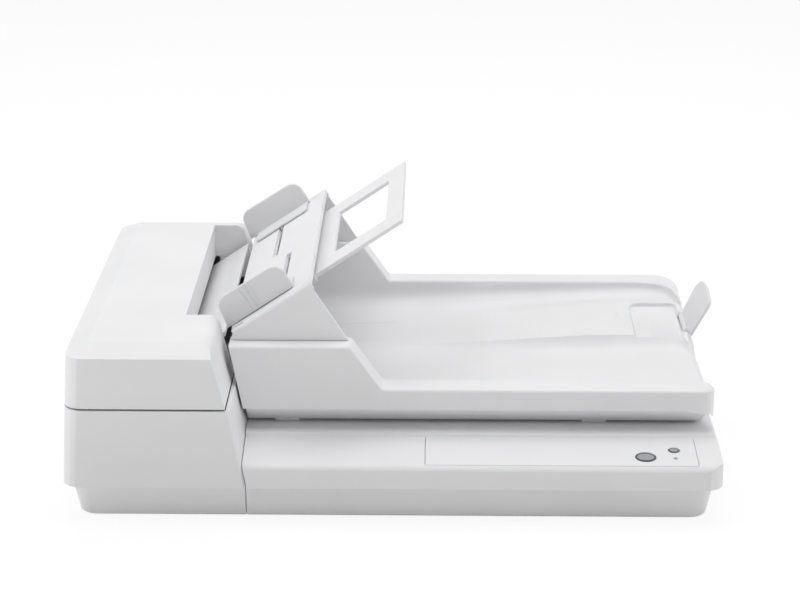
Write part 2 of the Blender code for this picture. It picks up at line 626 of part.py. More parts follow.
def make_cover_frame(pivot):
    """The inner frame that carries the pick roller and the upper pinch rollers."""
    y0, y1 = PAPER_MIDDLE - 90, PAPER_MIDDLE + 90
    frame = block(-204, -153.0, y0, y1, 117.5, 120.5)
    pick_x = PICK[0]
    cheeks = [
        block(pick_x - 4, pick_x + 4, PAPER_MIDDLE - 30, PAPER_MIDDLE - 27, 99, 118),
        block(pick_x - 4, pick_x + 4, PAPER_MIDDLE + 27, PAPER_MIDDLE + 30, 99, 118),
        block(-199, -189, y0 + 4, y0 + 8, 94.5, 118),
        block(-199, -189, y1 - 8, y1 - 4, 94.5, 118),
    ]
    bosses = [rod("Z", (-178, y), 3.0, 118, 122.7, 16) for y in (y0 + 15, y1 - 15)]
    frame = join(frame, *cheeks, *bosses)
    frame = cut(
        frame,
        rod("Y", PICK, 3.4, PAPER_MIDDLE - 40, PAPER_MIDDLE + 40, 16),
        rod("Y", UPPER_PINCH, 2.9, y0 - 5, y1 + 5, 16),
    )
    add("cover_frame", frame, "black_plastic", pivot)


def make_cover_hinge():
    reach = COVER_LUG + 9.6
    add("cover_hinge_pin", rod("Y", COVER_HINGE, 1.0, -reach, reach, 16), "steel", smooth=True)


# ---- document cover --------------------------------------------------------
def wall_height(x):
    """Top of the long walls: high beside the chute, a ramp, then the low rim."""
    if x <= SHOULDER_X:
        return SHOULDER_Z
    if x >= RAMP_X:
        return RIM_Z
    share = (x - SHOULDER_X) / (RAMP_X - SHOULDER_X)
    return SHOULDER_Z + share * (RIM_Z - SHOULDER_Z)


def floor_height(x):
    """Low side strips of the stacker floor, rising to the right."""
    share = min(max((x - SHOULDER_X) / (215.0 - SHOULDER_X), 0.0), 1.0)
    return FLOOR_LEFT_Z + share * (FLOOR_RIGHT_Z - FLOOR_LEFT_Z)


def plateau_share(x):
    """How far the floor's raised middle has grown: none at its left end, all from PLATEAU_X[1] on."""
    start, full = PLATEAU_X
    return min(max((x - start) / (full - start), 0.0), 1.0)


def plateau_height(x):
    grown = plateau_share(x) * (PLATEAU_Z - floor_height(PLATEAU_X[1]))
    return min(floor_height(x) + grown, PLATEAU_Z)


def lid_rows(x):
    """Depths and heights across the cover at one x, front to back: (y, top, underside)."""
    wall, low = wall_height(x), floor_height(x)
    high = plateau_height(x)
    share = plateau_share(x)
    near_y = 31.0 - 15.5 * share
    near_low = low + 3.0 * share
    far_y = 90.0 - 6.0 * share
    return [
        (LID_FRONT, wall - 1.2, LID_WALL_Z),
        (LID_FRONT + 1.2, wall, LID_WALL_Z),
        (LID_FRONT + SKIN, wall, LID_WALL_Z),
        (LID_FRONT + SKIN + 0.2, wall, wall - SKIN),
        (RIM_INNER_FRONT - SKIN, wall, wall - SKIN),
        (RIM_INNER_FRONT - SKIN + 0.2, wall, near_low - SKIN),
        (RIM_INNER_FRONT - 0.2, wall, near_low - SKIN),
        (RIM_INNER_FRONT, near_low, near_low - SKIN),
        (near_y - 3.0, low, low - SKIN),
        (near_y, high - PLATEAU_TILT * share, low - SKIN),
        (far_y, high, low - SKIN),
        (far_y + 6.0, low + 0.5 * (high - low), low - SKIN),
        (RIM_INNER_BACK, low, low - SKIN),
        (RIM_INNER_BACK + 0.2, wall, low - SKIN),
        (RIM_INNER_BACK + SKIN - 0.2, wall, low - SKIN),
        (RIM_INNER_BACK + SKIN, wall, wall - SKIN),
        (LID_BACK - SKIN - 0.2, wall, wall - SKIN),
        (LID_BACK - SKIN, wall, LID_WALL_Z),
        (LID_BACK - 1.2, wall, LID_WALL_Z),
        (LID_BACK, wall - 1.2, LID_WALL_Z),
    ]


def make_lid():
    end_x = LID_RIGHT - END_RADIUS
    stations = [-121, SHOULDER_X, RAMP_X, PLATEAU_X[0], 40, 90, PLATEAU_X[1], end_x - 0.1]
    rows = [lid_rows(x) for x in stations]
    bm = bmesh.new()
    top = [[bm.verts.new(Vector((x, y, z)) * MM) for y, z, _ in row] for x, row in zip(stations, rows)]
    low = [[bm.verts.new(Vector((x, y, b)) * MM) for y, _, b in row] for x, row in zip(stations, rows)]
    last = len(rows[0]) - 1
    for i in range(len(stations) - 1):
        for j in range(last):
            bm.faces.new((top[i][j], top[i + 1][j], top[i + 1][j + 1], top[i][j + 1]))
            bm.faces.new((low[i][j], low[i][j + 1], low[i + 1][j + 1], low[i + 1][j]))
        bm.faces.new((low[i][0], low[i + 1][0], top[i + 1][0], top[i][0]))
        bm.faces.new((low[i][last], top[i][last], top[i + 1][last], low[i + 1][last]))
    for j in range(last):
        bm.faces.new((low[0][j + 1], low[0][j], top[0][j], top[0][j + 1]))
        bm.faces.new((low[-1][j], low[-1][j + 1], top[-1][j + 1], top[-1][j]))
    bmesh.ops.recalc_face_normals(bm, faces=bm.faces)
    bmesh.ops.triangulate(bm, faces=bm.faces)
    corner = prism("Z", CORNER_RIM, FLOOR_RIGHT_Z - 1.6, RIM_Z - 0.35)
    lid = join(bm, end_wall(), corner)
    lid = common(lid, *lid_outline())
    lid = cut(lid, *stopper_recess())
    lid = join(lid, *stopper_ears())
    lid = cut(lid, rod("Y", STOPPER_HINGE, 1.1, STOPPER_BARREL[0] - 7.0, STOPPER_BARREL[1] + 6.0, 12))
    x, z = CHUTE_HINGE
    for y0, y1 in CHUTE_EARS:
        lid = join(lid, block(x - 2.2, x + 2.2, y0, y1, SHOULDER_Z - 2, z))
        lid = join(lid, rod("Y", CHUTE_HINGE, 2.3, y0 + 0.05, y1 - 0.05, 16))
    lid = cut(lid, rod("Y", CHUTE_HINGE, 1.6, CHUTE_EARS[0][0] - 1, CHUTE_EARS[1][1] + 1, 16))
    add("document_cover", lid, "body_plastic", (0, *LID_HINGE))


def end_wall():
    """The right end wall under rims, floor strips and plateau, with its round top edge."""
    start = LID_RIGHT - END_RADIUS
    top = [(y, z) for y, z, _ in lid_rows(start - 0.1)][::-1]
    rings = []
    for reach in (-0.3, 0.0, 2.0, 3.5, 4.5, END_RADIUS):
        drop = END_RADIUS - math.sqrt(END_RADIUS ** 2 - max(reach, 0.0) ** 2)
        drop = min(drop, 3.8)
        ring = [(LID_FRONT, LID_WALL_Z), (LID_BACK, LID_WALL_Z)] + [(y, z - drop) for y, z in top]
        rings.append([(start + reach, y, z) for y, z in ring])
    return loft(rings)


def lid_outline():
    """Plan of the cover with its round right corners, and its leaning left side."""
    plan = rounded(-140, LID_RIGHT, LID_FRONT, LID_BACK, (0.5, 10.0, 24.0, 0.5), 6)
    low, high = 40.0, 130.0
    low_x, high_x = (LID_LEFT - LID_SLOPE * (z - LID_WALL_Z) for z in (low, high))
    right = LID_RIGHT + 0.2
    across = [(low_x, low), (right, low)]
    across += arc((right - END_RADIUS, RIM_Z + 0.1 - END_RADIUS), END_RADIUS, 0, 90, 5)
    across += [(100, RIM_Z + 2), (-5, high), (high_x, high)]
    return prism("Z", plan, 30, 140), prism("Y", across, -170, 170)


def stopper_recess():
    """The shallow well that the blade folds into, and the deeper slot its barrel turns in."""
    x, z = STOPPER_HINGE
    left, front, back, floor = RECESS
    low, high = STOPPER_BARREL
    well = prism("Z", rounded(left, x - 3.0, front, back, (1.0, 1.0, 6.0, 9.0)), floor, 90)
    return [well, block(x - 3.2, LID_RIGHT + 2, low - GAP, high + GAP, z - 3.0, 90)]


def stopper_ears():
    x, z = STOPPER_HINGE
    ears = []
    low, high = STOPPER_BARREL
    for y0, y1 in ((low - 6.0, low - GAP), (high + GAP, high + 5.0)):
        ears.append(block(x - 2.1, x + 2.1, y0, y1, z - 5.0, z))
        ears.append(rod("Y", STOPPER_HINGE, EAR_RADIUS, y0 + 0.05, y1 - 0.05, 16))
    return ears


def make_lid_frame():
    """Lower frame of the cover: a sloping skirt, a plate above the pad and the hinge bay."""
    left = LID_LEFT + 0.6
    outer = loft([
        ring_at(49.8, rounded(left + 1, LID_RIGHT - 3.2, -90, 153, (2, 8, 20, 2))),
        ring_at(LID_WALL_Z - 2.2, rounded(left + 1, LID_RIGHT - 2.4, -105.4, 156.5, (2, 9, 23, 2))),
        ring_at(LID_WALL_Z - 0.4, rounded(left + 1, LID_RIGHT - 1.2, -106.6, 157.3, (2, 9, 23, 2))),
    ])
    upper = loft([
        ring_at(56, rounded(left - 20, LID_RIGHT - 5.2, -91, 150.5, (2, 7, 19, 2))),
        ring_at(70, rounded(left - 20, LID_RIGHT - 3.5, -103.5, 154.0, (2, 7, 19, 2))),
    ])
    pad_bay = block(-91.6, 211.6, -83.4, 141.4, 40, 53.2)
    bays = []
    for x in LID_HINGE_X:
        bays.append(block(x - 17.5, x + 17.5, 141.8, 170, 40, 70))
    add("cover_lower_frame", cut(outer, upper, pad_bay, *bays), "guide_plastic", (0, *LID_HINGE))


def make_pad():
    pad = block(-91.0, 211.0, -82.8, 140.6, FRAME_Z + 0.2, 52.8)
    add("document_pad", pad, "white_foam", (0, *LID_HINGE))


def make_bumpers():
    for name, x in (("bumper_left", -79.3), ("bumper_right", 138.4)):
        foam = block(x - 8.5, x + 8.5, -89.0, -84.2, FRAME_Z + 0.3, 49.5)
        add(name, foam, "white_foam", (0, *LID_HINGE))


def make_lid_hinges():
    y, z = LID_HINGE
    for side, x in zip(("left", "right"), LID_HINGE_X):
        outline = [(y - 6, FRAME_Z + 0.3), (y + 6, FRAME_Z + 0.3), (y + 4.2, z)]
        outline += arc((y, z), 4.2, 20, 160, 6) + [(y - 4.2, z)]
        post = prism("X", outline, x - 9, x + 9)
        post = cut(post, rod("X", (y, z), 2.3, x - 15, x + 15, 16))
        add("hinge_post_" + side, post, "black_plastic")
        add("hinge_pin_" + side, rod("X", (y, z), 2.0, x - 15, x + 15, 16), "steel", smooth=True)
        arm = block(x - 14, x + 14, y - 5, y + 4, 64.4, 67.4)
        for span in ((x - 13.6, x - 9.6), (x + 9.6, x + 13.6)):
            cheek = block(*span, y - 4, y + 4, z, 65)
            cheek = join(cheek, rod("X", (y, z), 4.0, *span, 16))
            arm = join(arm, cheek)
        arm = cut(arm, rod("X", (y, z), 2.3, x - 20, x + 20, 16))
        add("hinge_arm_" + side, arm, "black_plastic", (x, y, z))


# ---- paper chute -----------------------------------------------------------
def chute_point(along, above=0.0):
    """A point on the chute's surface: distance down from its top, and height off it."""
    c, s = math.cos(CHUTE_SLOPE), math.sin(CHUTE_SLOPE)
    return (CHUTE_APEX[0] - along * c - above * s, CHUTE_APEX[1] - along * s + above * c)


def make_chute():
    length = (CHUTE_APEX[0] - CHUTE_LOW_X) / math.cos(CHUTE_SLOPE)
    low = SHOULDER_Z + GAP
    side = arc(CHUTE_HINGE, CHUTE_HINGE[1] - low, 180, 270, 5)
    side += [(-35.5, low), (CHUTE_APEX[0] + 1.8, 149.0)]
    side += [chute_point(0.6, -3.5), chute_point(length - 0.6, -1.5)]
    plate = [chute_point(length, -3.2), chute_point(0, -3.2), chute_point(0), chute_point(length)]
    chute = join(
        prism("Y", plate, CHUTE_FRONT + 2.0, CHUTE_BACK - 2.0),
        prism("Y", side, CHUTE_FRONT, CHUTE_FRONT + 2.6),
        prism("Y", side, CHUTE_BACK - 2.6, CHUTE_BACK),
    )
    for s in (-1, 1):
        edge = PAPER_MIDDLE + s * (TRAY_HALF + GAP)
        chute = join(
            chute,
            slanted_block(3, 60, *sorted((edge, edge + s * 2.4)), TRAY_LOW - 1.6, -3),
            slanted_block(4, 59, *sorted((edge - s * 4, edge + s * 2.0)), TRAY_LOW - 2.0, TRAY_LOW - GAP),
        )
        slot = sorted((PAPER_MIDDLE + s * 9.0, PAPER_MIDDLE + s * (PAPER_HALF - 12.0)))
        start = PINION_ALONG + s * 7.0
        chute = cut(chute, slanted_block(start - 2.4, start + 2.4, *slot, -7.4, 4))
    for s in (-1, 1):
        start = PINION_ALONG + s * 7.0
        window = sorted((PAPER_MIDDLE - s * (TRAY_HALF - 1.0), PAPER_MIDDLE - s * (TRAY_HALF + 10.0)))
        chute = cut(chute, slanted_block(start - 2.4, start + 2.4, *window, -7.4, -3.6))
    for y0, y1 in CHUTE_EARS:
        chute = cut(chute, block(-125, -109, y0 - GAP, y1 + GAP, 100, 130))
    chute = cut(chute, rod("Y", CHUTE_HINGE, 1.6, CHUTE_FRONT + 1.0, CHUTE_BACK - 1.0, 16))
    rod_reach = (CHUTE_FRONT + 1.0 + GAP, CHUTE_BACK - 1.0 - GAP)
    add("chute_hinge_rod", rod("Y", CHUTE_HINGE, 1.2, *rod_reach, 16), "steel", smooth=True)
    add("paper_chute", chute, "body_plastic", (CHUTE_HINGE[0], PAPER_MIDDLE, CHUTE_HINGE[1]))


def slanted_block(start, end, y0, y1, low, high):
    """A block lying along the chute: start and end down from its top, low and high off its surface."""
    corners = ((end, low), (start, low), (start, high), (end, high))
    outline = [chute_point(along, above) for along, above in corners]
    return prism("Y", outline, y0, y1)


def make_extension():
    """The tray that pulls out of the chute, shown pulled out."""
    y0, y1 = PAPER_MIDDLE - TRAY_HALF, PAPER_MIDDLE + TRAY_HALF
    tray = slanted_block(-EXTENSION_REACH, 8, y0, y1, TRAY_LOW, TRAY_TOP)
    tray = cut(tray, slanted_block(-EXTENSION_REACH + 14, -12, PAPER_MIDDLE - 52, PAPER_MIDDLE + 52, -14, 4))
    add("chute_extension", tray, "body_plastic", (CHUTE_APEX[0], PAPER_MIDDLE, CHUTE_APEX[1]))


def make_guides():
    """Two side guides; each has a rack under the chute, and one pinion lies between the racks."""
    for name, s in (("front_guide", -1), ("back_guide", 1)):
        face = PAPER_MIDDLE + s * PAPER_HALF
        wall = [chute_point(69.6, 0.5), chute_point(13.4, 0.5), chute_point(12.9, 7.0)]
        wall += arc(chute_point(21.6, 12.7), 8.6, 33, 123, 6)
        wall += arc(chute_point(58.2, 13.4), 8.6, 124, 199, 6)
        guide = prism("Y", wall, *sorted((face, face + s * 3.0)))
        guide = join(guide, slanted_block(15, 62, *sorted((face - s * 22.0, face + s * 0.5)), 0.6, 1.9))
        start = PINION_ALONG + s * 7.0
        inner = sorted((face - s * 21.0, face - s * 17.0))
        rack = sorted((face - s * 17.5, PAPER_MIDDLE - s * 12.0))
        guide = join(
            guide,
            slanted_block(start - 1.3, start + 1.3, *inner, -6.6, 1.2),
            slanted_block(start - 1.5, start + 1.5, *rack, -6.8, -4.0),
        )
        add(name, guide, "guide_plastic", (chute_point(37)[0], face, chute_point(37)[1]))
    teeth = 12
    outline = []
    for i in range(teeth * 2):
        for share in (0.15, 0.85):
            angle = math.pi * (i + share) / teeth
            radius = 5.0 if i % 2 else 4.2
            along = PINION_ALONG + radius * math.cos(angle)
            outline.append((along, PAPER_MIDDLE + radius * math.sin(angle)))
    rings = []
    for above in (-6.6, -3.8):
        points = [(chute_point(along, above), y) for along, y in outline]
        rings.append([(x, y, z) for (x, z), y in points])
    middle = chute_point(PINION_ALONG, -5.2)
    add("guide_pinion", loft(rings), "gear_plastic", (middle[0], PAPER_MIDDLE, middle[1]))


# ---- stopper ---------------------------------------------------------------
def make_stopper():
    x, z = STOPPER_HINGE
    y0, y1 = STOPPER_Y
    low, high = STOPPER_BARREL
    top = STOPPER_LENGTH
    root = EAR_RADIUS + 0.7
    outline = [(y0, root), (low, root), (low, 1.0), (high, 1.0), (high, root), (high + 1.5, root + 2.0)]
    outline += [(high + 2.0, 8.0), (high + 3.2, 15.0), (y1 - 1.0, 22.0)]
    outline += arc((y1 - 9.0, top - 9.0), 9.0, 10, 90, 6)
    outline += arc((y0 + 12.0, top - 12.0), 12.0, 90, 180, 6)
    paddle = join(
        prism("X", outline, -STOPPER_HALF, STOPPER_HALF),
        rod("Y", (0, 0), 2.4, low, high, 16),
    )
    paddle = cut(paddle, rod("Y", (0, 0), 1.2, low - 5, high + 5, 12))
    lean = Matrix.Rotation(STOPPER_LEAN, 4, "Y")
    bmesh.ops.transform(paddle, matrix=Matrix.Translation(Vector((x, 0, z)) * MM) @ lean, verts=paddle.verts)
    middle = (low + high) / 2
    add("stopper", paddle, "guide_plastic", (x, middle, z))
    pin = rod("Y", (x, z), 0.8, low - 5.4, high + 4.4, 12)
    add("stopper_pin", pin, "steel", (x, middle, z), smooth=True)


def main():
    for old in list(bpy.data.objects):
        bpy.data.objects.remove(old)
    make_materials()
    make_bottom_tray()
    make_tower_shell()
    make_bed_shell()
    make_glass()
    make_operator_panel()
    make_button("scan_button", SCAN_BUTTON)
    make_button("power_button", POWER_BUTTON)
    make_led()
    make_feet()
    make_scan_works()
    make_electronics()
    make_adf_frame()
    make_rollers()
    make_feeder_drive()
    make_paper_guides()
    make_cover()
    make_cover_hinge()
    make_lid()
    make_lid_frame()
    make_pad()
    make_bumpers()
    make_lid_hinges()
    make_chute()
    make_extension()
    make_guides()
    make_stopper()


main()
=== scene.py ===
"""Looks of the flatbed scanner with a sheet feeder: shells, moulded detail, materials, light and camera.

Everything is in the frame's own axes. Numbers are in millimetres and degrees unless a name says otherwise.
"""
import json
import math

import bmesh
import bpy
from mathutils import Matrix, Vector

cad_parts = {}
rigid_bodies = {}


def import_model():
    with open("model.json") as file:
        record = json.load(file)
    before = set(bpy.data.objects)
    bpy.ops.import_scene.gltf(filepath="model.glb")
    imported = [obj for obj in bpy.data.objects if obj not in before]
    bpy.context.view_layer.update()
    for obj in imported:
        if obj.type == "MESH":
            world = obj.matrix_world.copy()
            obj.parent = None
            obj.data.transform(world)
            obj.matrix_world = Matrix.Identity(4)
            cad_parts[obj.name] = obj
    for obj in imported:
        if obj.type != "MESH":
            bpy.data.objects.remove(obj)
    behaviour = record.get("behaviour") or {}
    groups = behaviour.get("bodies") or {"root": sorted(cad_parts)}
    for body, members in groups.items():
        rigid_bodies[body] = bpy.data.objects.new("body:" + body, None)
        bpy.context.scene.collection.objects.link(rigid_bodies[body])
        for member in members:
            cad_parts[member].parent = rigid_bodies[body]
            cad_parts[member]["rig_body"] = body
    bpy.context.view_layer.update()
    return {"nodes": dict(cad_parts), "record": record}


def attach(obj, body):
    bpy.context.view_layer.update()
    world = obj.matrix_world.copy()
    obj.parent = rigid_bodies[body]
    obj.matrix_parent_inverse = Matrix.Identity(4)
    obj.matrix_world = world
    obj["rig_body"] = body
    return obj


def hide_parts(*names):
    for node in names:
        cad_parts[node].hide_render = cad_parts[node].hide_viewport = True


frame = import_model()
NODES = frame["nodes"]
MM = 0.001

# ---- camera, measured from the photograph ------------------------------------
CAMERA_PLACE = (0.02375, -1.59878, 0.64495)  # metres
CAMERA_TURN = (71.461, 0.0, 0.871)           # about x, y and z
CAMERA_LENS, CAMERA_SENSOR = 102.64, 36.0


# ---- node materials ------------------------------------------------------------
DRIFT, POLISH, SPARK = 14.0, 420.0, 2600.0   # a moulding's slow tone, polish and grain, in ripples per metre
SPARK_DEPTH = 0.00004                        # metres


def new_material(name):
    mat = bpy.data.materials.new(name)
    mat.use_nodes = True
    nodes = mat.node_tree.nodes
    return mat, nodes, mat.node_tree.links, nodes["Principled BSDF"]


def noise(nodes, links, scale, detail=2.0, roughness=0.5):
    """Noise in the object's own space, scale in ripples per metre."""
    coords = nodes.new("ShaderNodeTexCoord")
    texture = nodes.new("ShaderNodeTexNoise")
    texture.inputs["Scale"].default_value = scale
    texture.inputs["Detail"].default_value = detail
    texture.inputs["Roughness"].default_value = roughness
    links.new(coords.outputs["Object"], texture.inputs["Vector"])
    return texture.outputs["Fac"]


def ramp(nodes, links, source, stops):
    """A colour ramp over a value; stops are (place, colour)."""
    node = nodes.new("ShaderNodeValToRGB")
    elements = node.color_ramp.elements
    while len(elements) < len(stops):
        elements.new(0.5)
    for element, (place, colour) in zip(elements, stops):
        element.position = place
        element.color = (*colour, 1.0)
    links.new(source, node.inputs["Fac"])
    return node.outputs["Color"]


def shaded(nodes, links, shader, source, colour, shares, stops=(0.3, 0.7)):
    """The base colour drifts between two shades of one colour."""
    shades = [tuple(min(c * share, 1.0) for c in colour) for share in shares]
    links.new(ramp(nodes, links, source, list(zip(stops, shades))), shader.inputs["Base Color"])


def polished(nodes, links, shader, source, low, high):
    """The roughness drifts between two values."""
    greys = [(0.3, (low,) * 3), (0.7, (high,) * 3)]
    links.new(ramp(nodes, links, source, greys), shader.inputs["Roughness"])


def bump(nodes, links, shader, height, strength, distance):
    """Relief from a height, its distance in metres."""
    node = nodes.new("ShaderNodeBump")
    node.inputs["Strength"].default_value = strength
    node.inputs["Distance"].default_value = distance
    links.new(height, node.inputs["Height"])
    links.new(node.outputs["Normal"], shader.inputs["Normal"])


def moulded(name, colour, roughness, grain=0.35, coat=0.0):
    """Moulded plastic: a fine spark grain, a faint drift of tone, and polish that varies."""
    mat, nodes, links, shader = new_material(name)
    shaded(nodes, links, shader, noise(nodes, links, DRIFT, 3.0), colour, (0.98, 1.02))
    polish = noise(nodes, links, POLISH, 4.0)
    polished(nodes, links, shader, polish, roughness - 0.05, roughness + 0.06)
    bump(nodes, links, shader, noise(nodes, links, SPARK, 3.0, 0.6), grain, SPARK_DEPTH)
    shader.inputs["Coat Weight"].default_value = coat
    return mat


def turned_steel(name, colour, roughness):
    """Steel with fine turning marks."""
    mat, nodes, links, shader = new_material(name)
    shaded(nodes, links, shader, noise(nodes, links, 60.0, 2.0), colour, (0.9, 1.0))
    marks = noise(nodes, links, 900.0, 4.0)
    polished(nodes, links, shader, marks, roughness - 0.08, roughness + 0.1)
    bump(nodes, links, shader, marks, 0.15, 0.00002)
    shader.inputs["Metallic"].default_value = 1.0
    return mat


def ground_rubber(name, colour, roughness):
    """Rubber with a ground, matt surface."""
    mat, nodes, links, shader = new_material(name)
    grain = noise(nodes, links, 1500.0, 5.0, 0.7)
    shaded(nodes, links, shader, grain, colour, (0.8, 1.2), (0.35, 0.65))
    polished(nodes, links, shader, grain, roughness - 0.08, roughness + 0.08)
    bump(nodes, links, shader, grain, 0.5, 0.00008)
    return mat


def foam(name, colour):
    """Foam with open cells."""
    mat, nodes, links, shader = new_material(name)
    cells = noise(nodes, links, 1100.0, 6.0, 0.75)
    shaded(nodes, links, shader, cells, colour, (0.93, 1.0), (0.4, 0.6))
    shader.inputs["Roughness"].default_value = 0.9
    bump(nodes, links, shader, cells, 0.5, 0.0001)
    return mat


def clear_glass(name):
    """Glass with a faint green tint and a thin film."""
    mat, nodes, links, shader = new_material(name)
    film = noise(nodes, links, 30.0, 2.0)
    tint = ramp(nodes, links, film, [(0.3, (0.93, 0.97, 0.96)), (0.7, (0.96, 0.99, 0.98))])
    links.new(tint, shader.inputs["Base Color"])
    polished(nodes, links, shader, film, 0.02, 0.05)
    shader.inputs["IOR"].default_value = 1.5
    shader.inputs["Transmission Weight"].default_value = 0.9
    return mat


def board(name):
    """A green circuit board with its tracks."""
    mat, nodes, links, shader = new_material(name)
    tracks = noise(nodes, links, 180.0, 0.0)
    colour = ramp(nodes, links, tracks, [(0.48, (0.015, 0.10, 0.04)), (0.5, (0.03, 0.17, 0.07))])
    links.new(colour, shader.inputs["Base Color"])
    polished(nodes, links, shader, tracks, 0.3, 0.45)
    bump(nodes, links, shader, tracks, 0.2, 0.00005)
    return mat


def button_plastic(name, face, ring):
    """Moulded plastic with a dark ring round the button's edge."""
    mat, nodes, links, shader = new_material(name)
    coords = nodes.new("ShaderNodeTexCoord")
    centred = nodes.new("ShaderNodeVectorMath")
    centred.operation = "MULTIPLY_ADD"
    centred.inputs[1].default_value = (1.0, 1.0, 0.0)
    centred.inputs[2].default_value = (-0.5, -0.5, 0.0)
    links.new(coords.outputs["Generated"], centred.inputs[0])
    reach = nodes.new("ShaderNodeVectorMath")
    reach.operation = "LENGTH"
    links.new(centred.outputs[0], reach.inputs[0])
    colour = ramp(nodes, links, reach.outputs["Value"], [(0.405, face), (0.435, ring)])
    links.new(colour, shader.inputs["Base Color"])
    polished(nodes, links, shader, noise(nodes, links, POLISH, 4.0), 0.34, 0.44)
    bump(nodes, links, shader, noise(nodes, links, SPARK, 3.0), 0.2, SPARK_DEPTH)
    return mat


BODY = moulded("body_plastic", (0.845, 0.845, 0.855), 0.5)
GUIDE = moulded("guide_plastic", (0.79, 0.79, 0.80), 0.48)
BUTTON = button_plastic("button_plastic", (0.38, 0.385, 0.40), (0.11, 0.115, 0.13))
BLACK = moulded("black_plastic", (0.03, 0.03, 0.032), 0.5)
GEAR = moulded("gear_plastic", (0.74, 0.72, 0.64), 0.42, grain=0.15)
RUBBER = ground_rubber("rubber", (0.05, 0.05, 0.05), 0.82)
ROLLER = ground_rubber("roller_rubber", (0.20, 0.21, 0.24), 0.75)
FOAM = foam("white_foam", (0.86, 0.86, 0.85))
GLASS = clear_glass("glass")
STEEL = turned_steel("steel", (0.62, 0.62, 0.63), 0.3)
BOARD = board("circuit_board")
LENS = moulded("lamp_lens", (0.42, 0.47, 0.45), 0.25, grain=0.05, coat=0.5)

SLOT_MATERIALS = {
    "body_plastic": BODY, "guide_plastic": GUIDE, "button_plastic": BUTTON, "black_plastic": BLACK,
    "gear_plastic": GEAR, "rubber": RUBBER, "roller_rubber": ROLLER, "white_foam": FOAM, "glass": GLASS,
    "steel": STEEL, "circuit_board": BOARD, "lamp_lens": LENS,
}
NODE_SLOT = {row["node"]: row["material_slot"] for row in frame["record"]["subparts"]}


# ---- CAD nodes -------------------------------------------------------------------
def dress(name):
    """A CAD node keeps its shape and gets its moulded material."""
    node = NODES[name]
    node.data.materials.clear()
    node.data.materials.append(SLOT_MATERIALS[NODE_SLOT[name]])


# ---- solids in mesh code -----------------------------------------------------------
WELD = 2e-6                                  # metres within which corners are one
FLAT_ANGLE, BEVEL_ANGLE, SMOOTH_ANGLE = 1.0, 18.0, 40.0
BEVEL_SEGMENTS = 3


def mesh_of(name, points, faces):
    """A mesh from points in millimetres, its faces turned outwards."""
    bm = bmesh.new()
    verts = [bm.verts.new(Vector(p) * MM) for p in points]
    for face in faces:
        bm.faces.new([verts[i] for i in face])
    bmesh.ops.recalc_face_normals(bm, faces=bm.faces)
    mesh = bpy.data.meshes.new(name)
    bm.to_mesh(mesh)
    bm.free()
    return mesh


def loft(name, rings):
    """A closed solid through rings of equal length."""
    count = len(rings[0])
    points = [p for ring in rings for p in ring]
    faces = [list(range(count))[::-1], [(len(rings) - 1) * count + i for i in range(count)]]
    for k in range(len(rings) - 1):
        for i in range(count):
            j = (i + 1) % count
            faces.append([k * count + i, k * count + j, (k + 1) * count + j, (k + 1) * count + i])
    return mesh_of(name, points, faces)


def block(name, x0, x1, y0, y1, z0, z1):
    return loft(name, [[(x0, y0, z), (x1, y0, z), (x1, y1, z), (x0, y1, z)] for z in (z0, z1)])


def rod(name, axis, radius, y0, y1, sides=24):
    """A round bar along Y about a line at x, z."""
    turns = [2 * math.pi * i / sides for i in range(sides)]
    ring = [(axis[0] + radius * math.cos(t), axis[1] + radius * math.sin(t)) for t in turns]
    return loft(name, [[(x, y, z) for x, z in ring] for y in (y0, y1)])


def combined(mesh, tools):
    """The mesh after each (operation, tool mesh) in turn."""
    base = bpy.data.objects.new("base", mesh)
    bpy.context.scene.collection.objects.link(base)
    helpers = []
    for operation, tool in tools:
        helper = bpy.data.objects.new("tool", tool)
        bpy.context.scene.collection.objects.link(helper)
        helpers.append(helper)
        modifier = base.modifiers.new("step", "BOOLEAN")
        modifier.operation = operation
        modifier.solver = "EXACT"
        modifier.object = helper
    graph = bpy.context.evaluated_depsgraph_get()
    result = bpy.data.meshes.new_from_object(base.evaluated_get(graph))
    for extra in [base] + helpers:
        bpy.data.objects.remove(extra)
    return result


def refined(name, width, additions=(), change=None):
    """A copy of a CAD node with its moulded edges rounded over, standing for the node."""
    node = NODES[name]
    bm = bmesh.new()
    bm.from_mesh(node.data)
    bmesh.ops.remove_doubles(bm, verts=bm.verts, dist=WELD)
    bmesh.ops.dissolve_limit(bm, angle_limit=math.radians(FLAT_ANGLE), verts=bm.verts, edges=bm.edges)
    if change:
        change(bm)
    mesh = bpy.data.meshes.new(name + "_fine")
    bm.to_mesh(mesh)
    bm.free()
    if additions:
        mesh = combined(mesh, [("UNION", extra) for extra in additions])
    piece = placed(name + "_fine", mesh, name, NODE_SLOT[name])
    modifier = piece.modifiers.new("round", "BEVEL")
    modifier.width = width * MM
    modifier.segments = BEVEL_SEGMENTS
    modifier.limit_method = "ANGLE"
    modifier.angle_limit = math.radians(BEVEL_ANGLE)
    modifier.harden_normals = True
    modifier.use_clamp_overlap = True
    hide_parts(name)


def placed(name, mesh, standing_for, slot):
    """Links a piece, gives it its slot's material and its node's body."""
    mesh.name = name
    mesh.materials.clear()
    mesh.materials.append(SLOT_MATERIALS[slot])
    mesh.shade_smooth()
    mesh.set_sharp_from_angle(angle=math.radians(SMOOTH_ANGLE))
    piece = bpy.data.objects.new(name, mesh)
    bpy.context.scene.collection.objects.link(piece)
    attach(piece, NODES[standing_for]["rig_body"])
    return piece


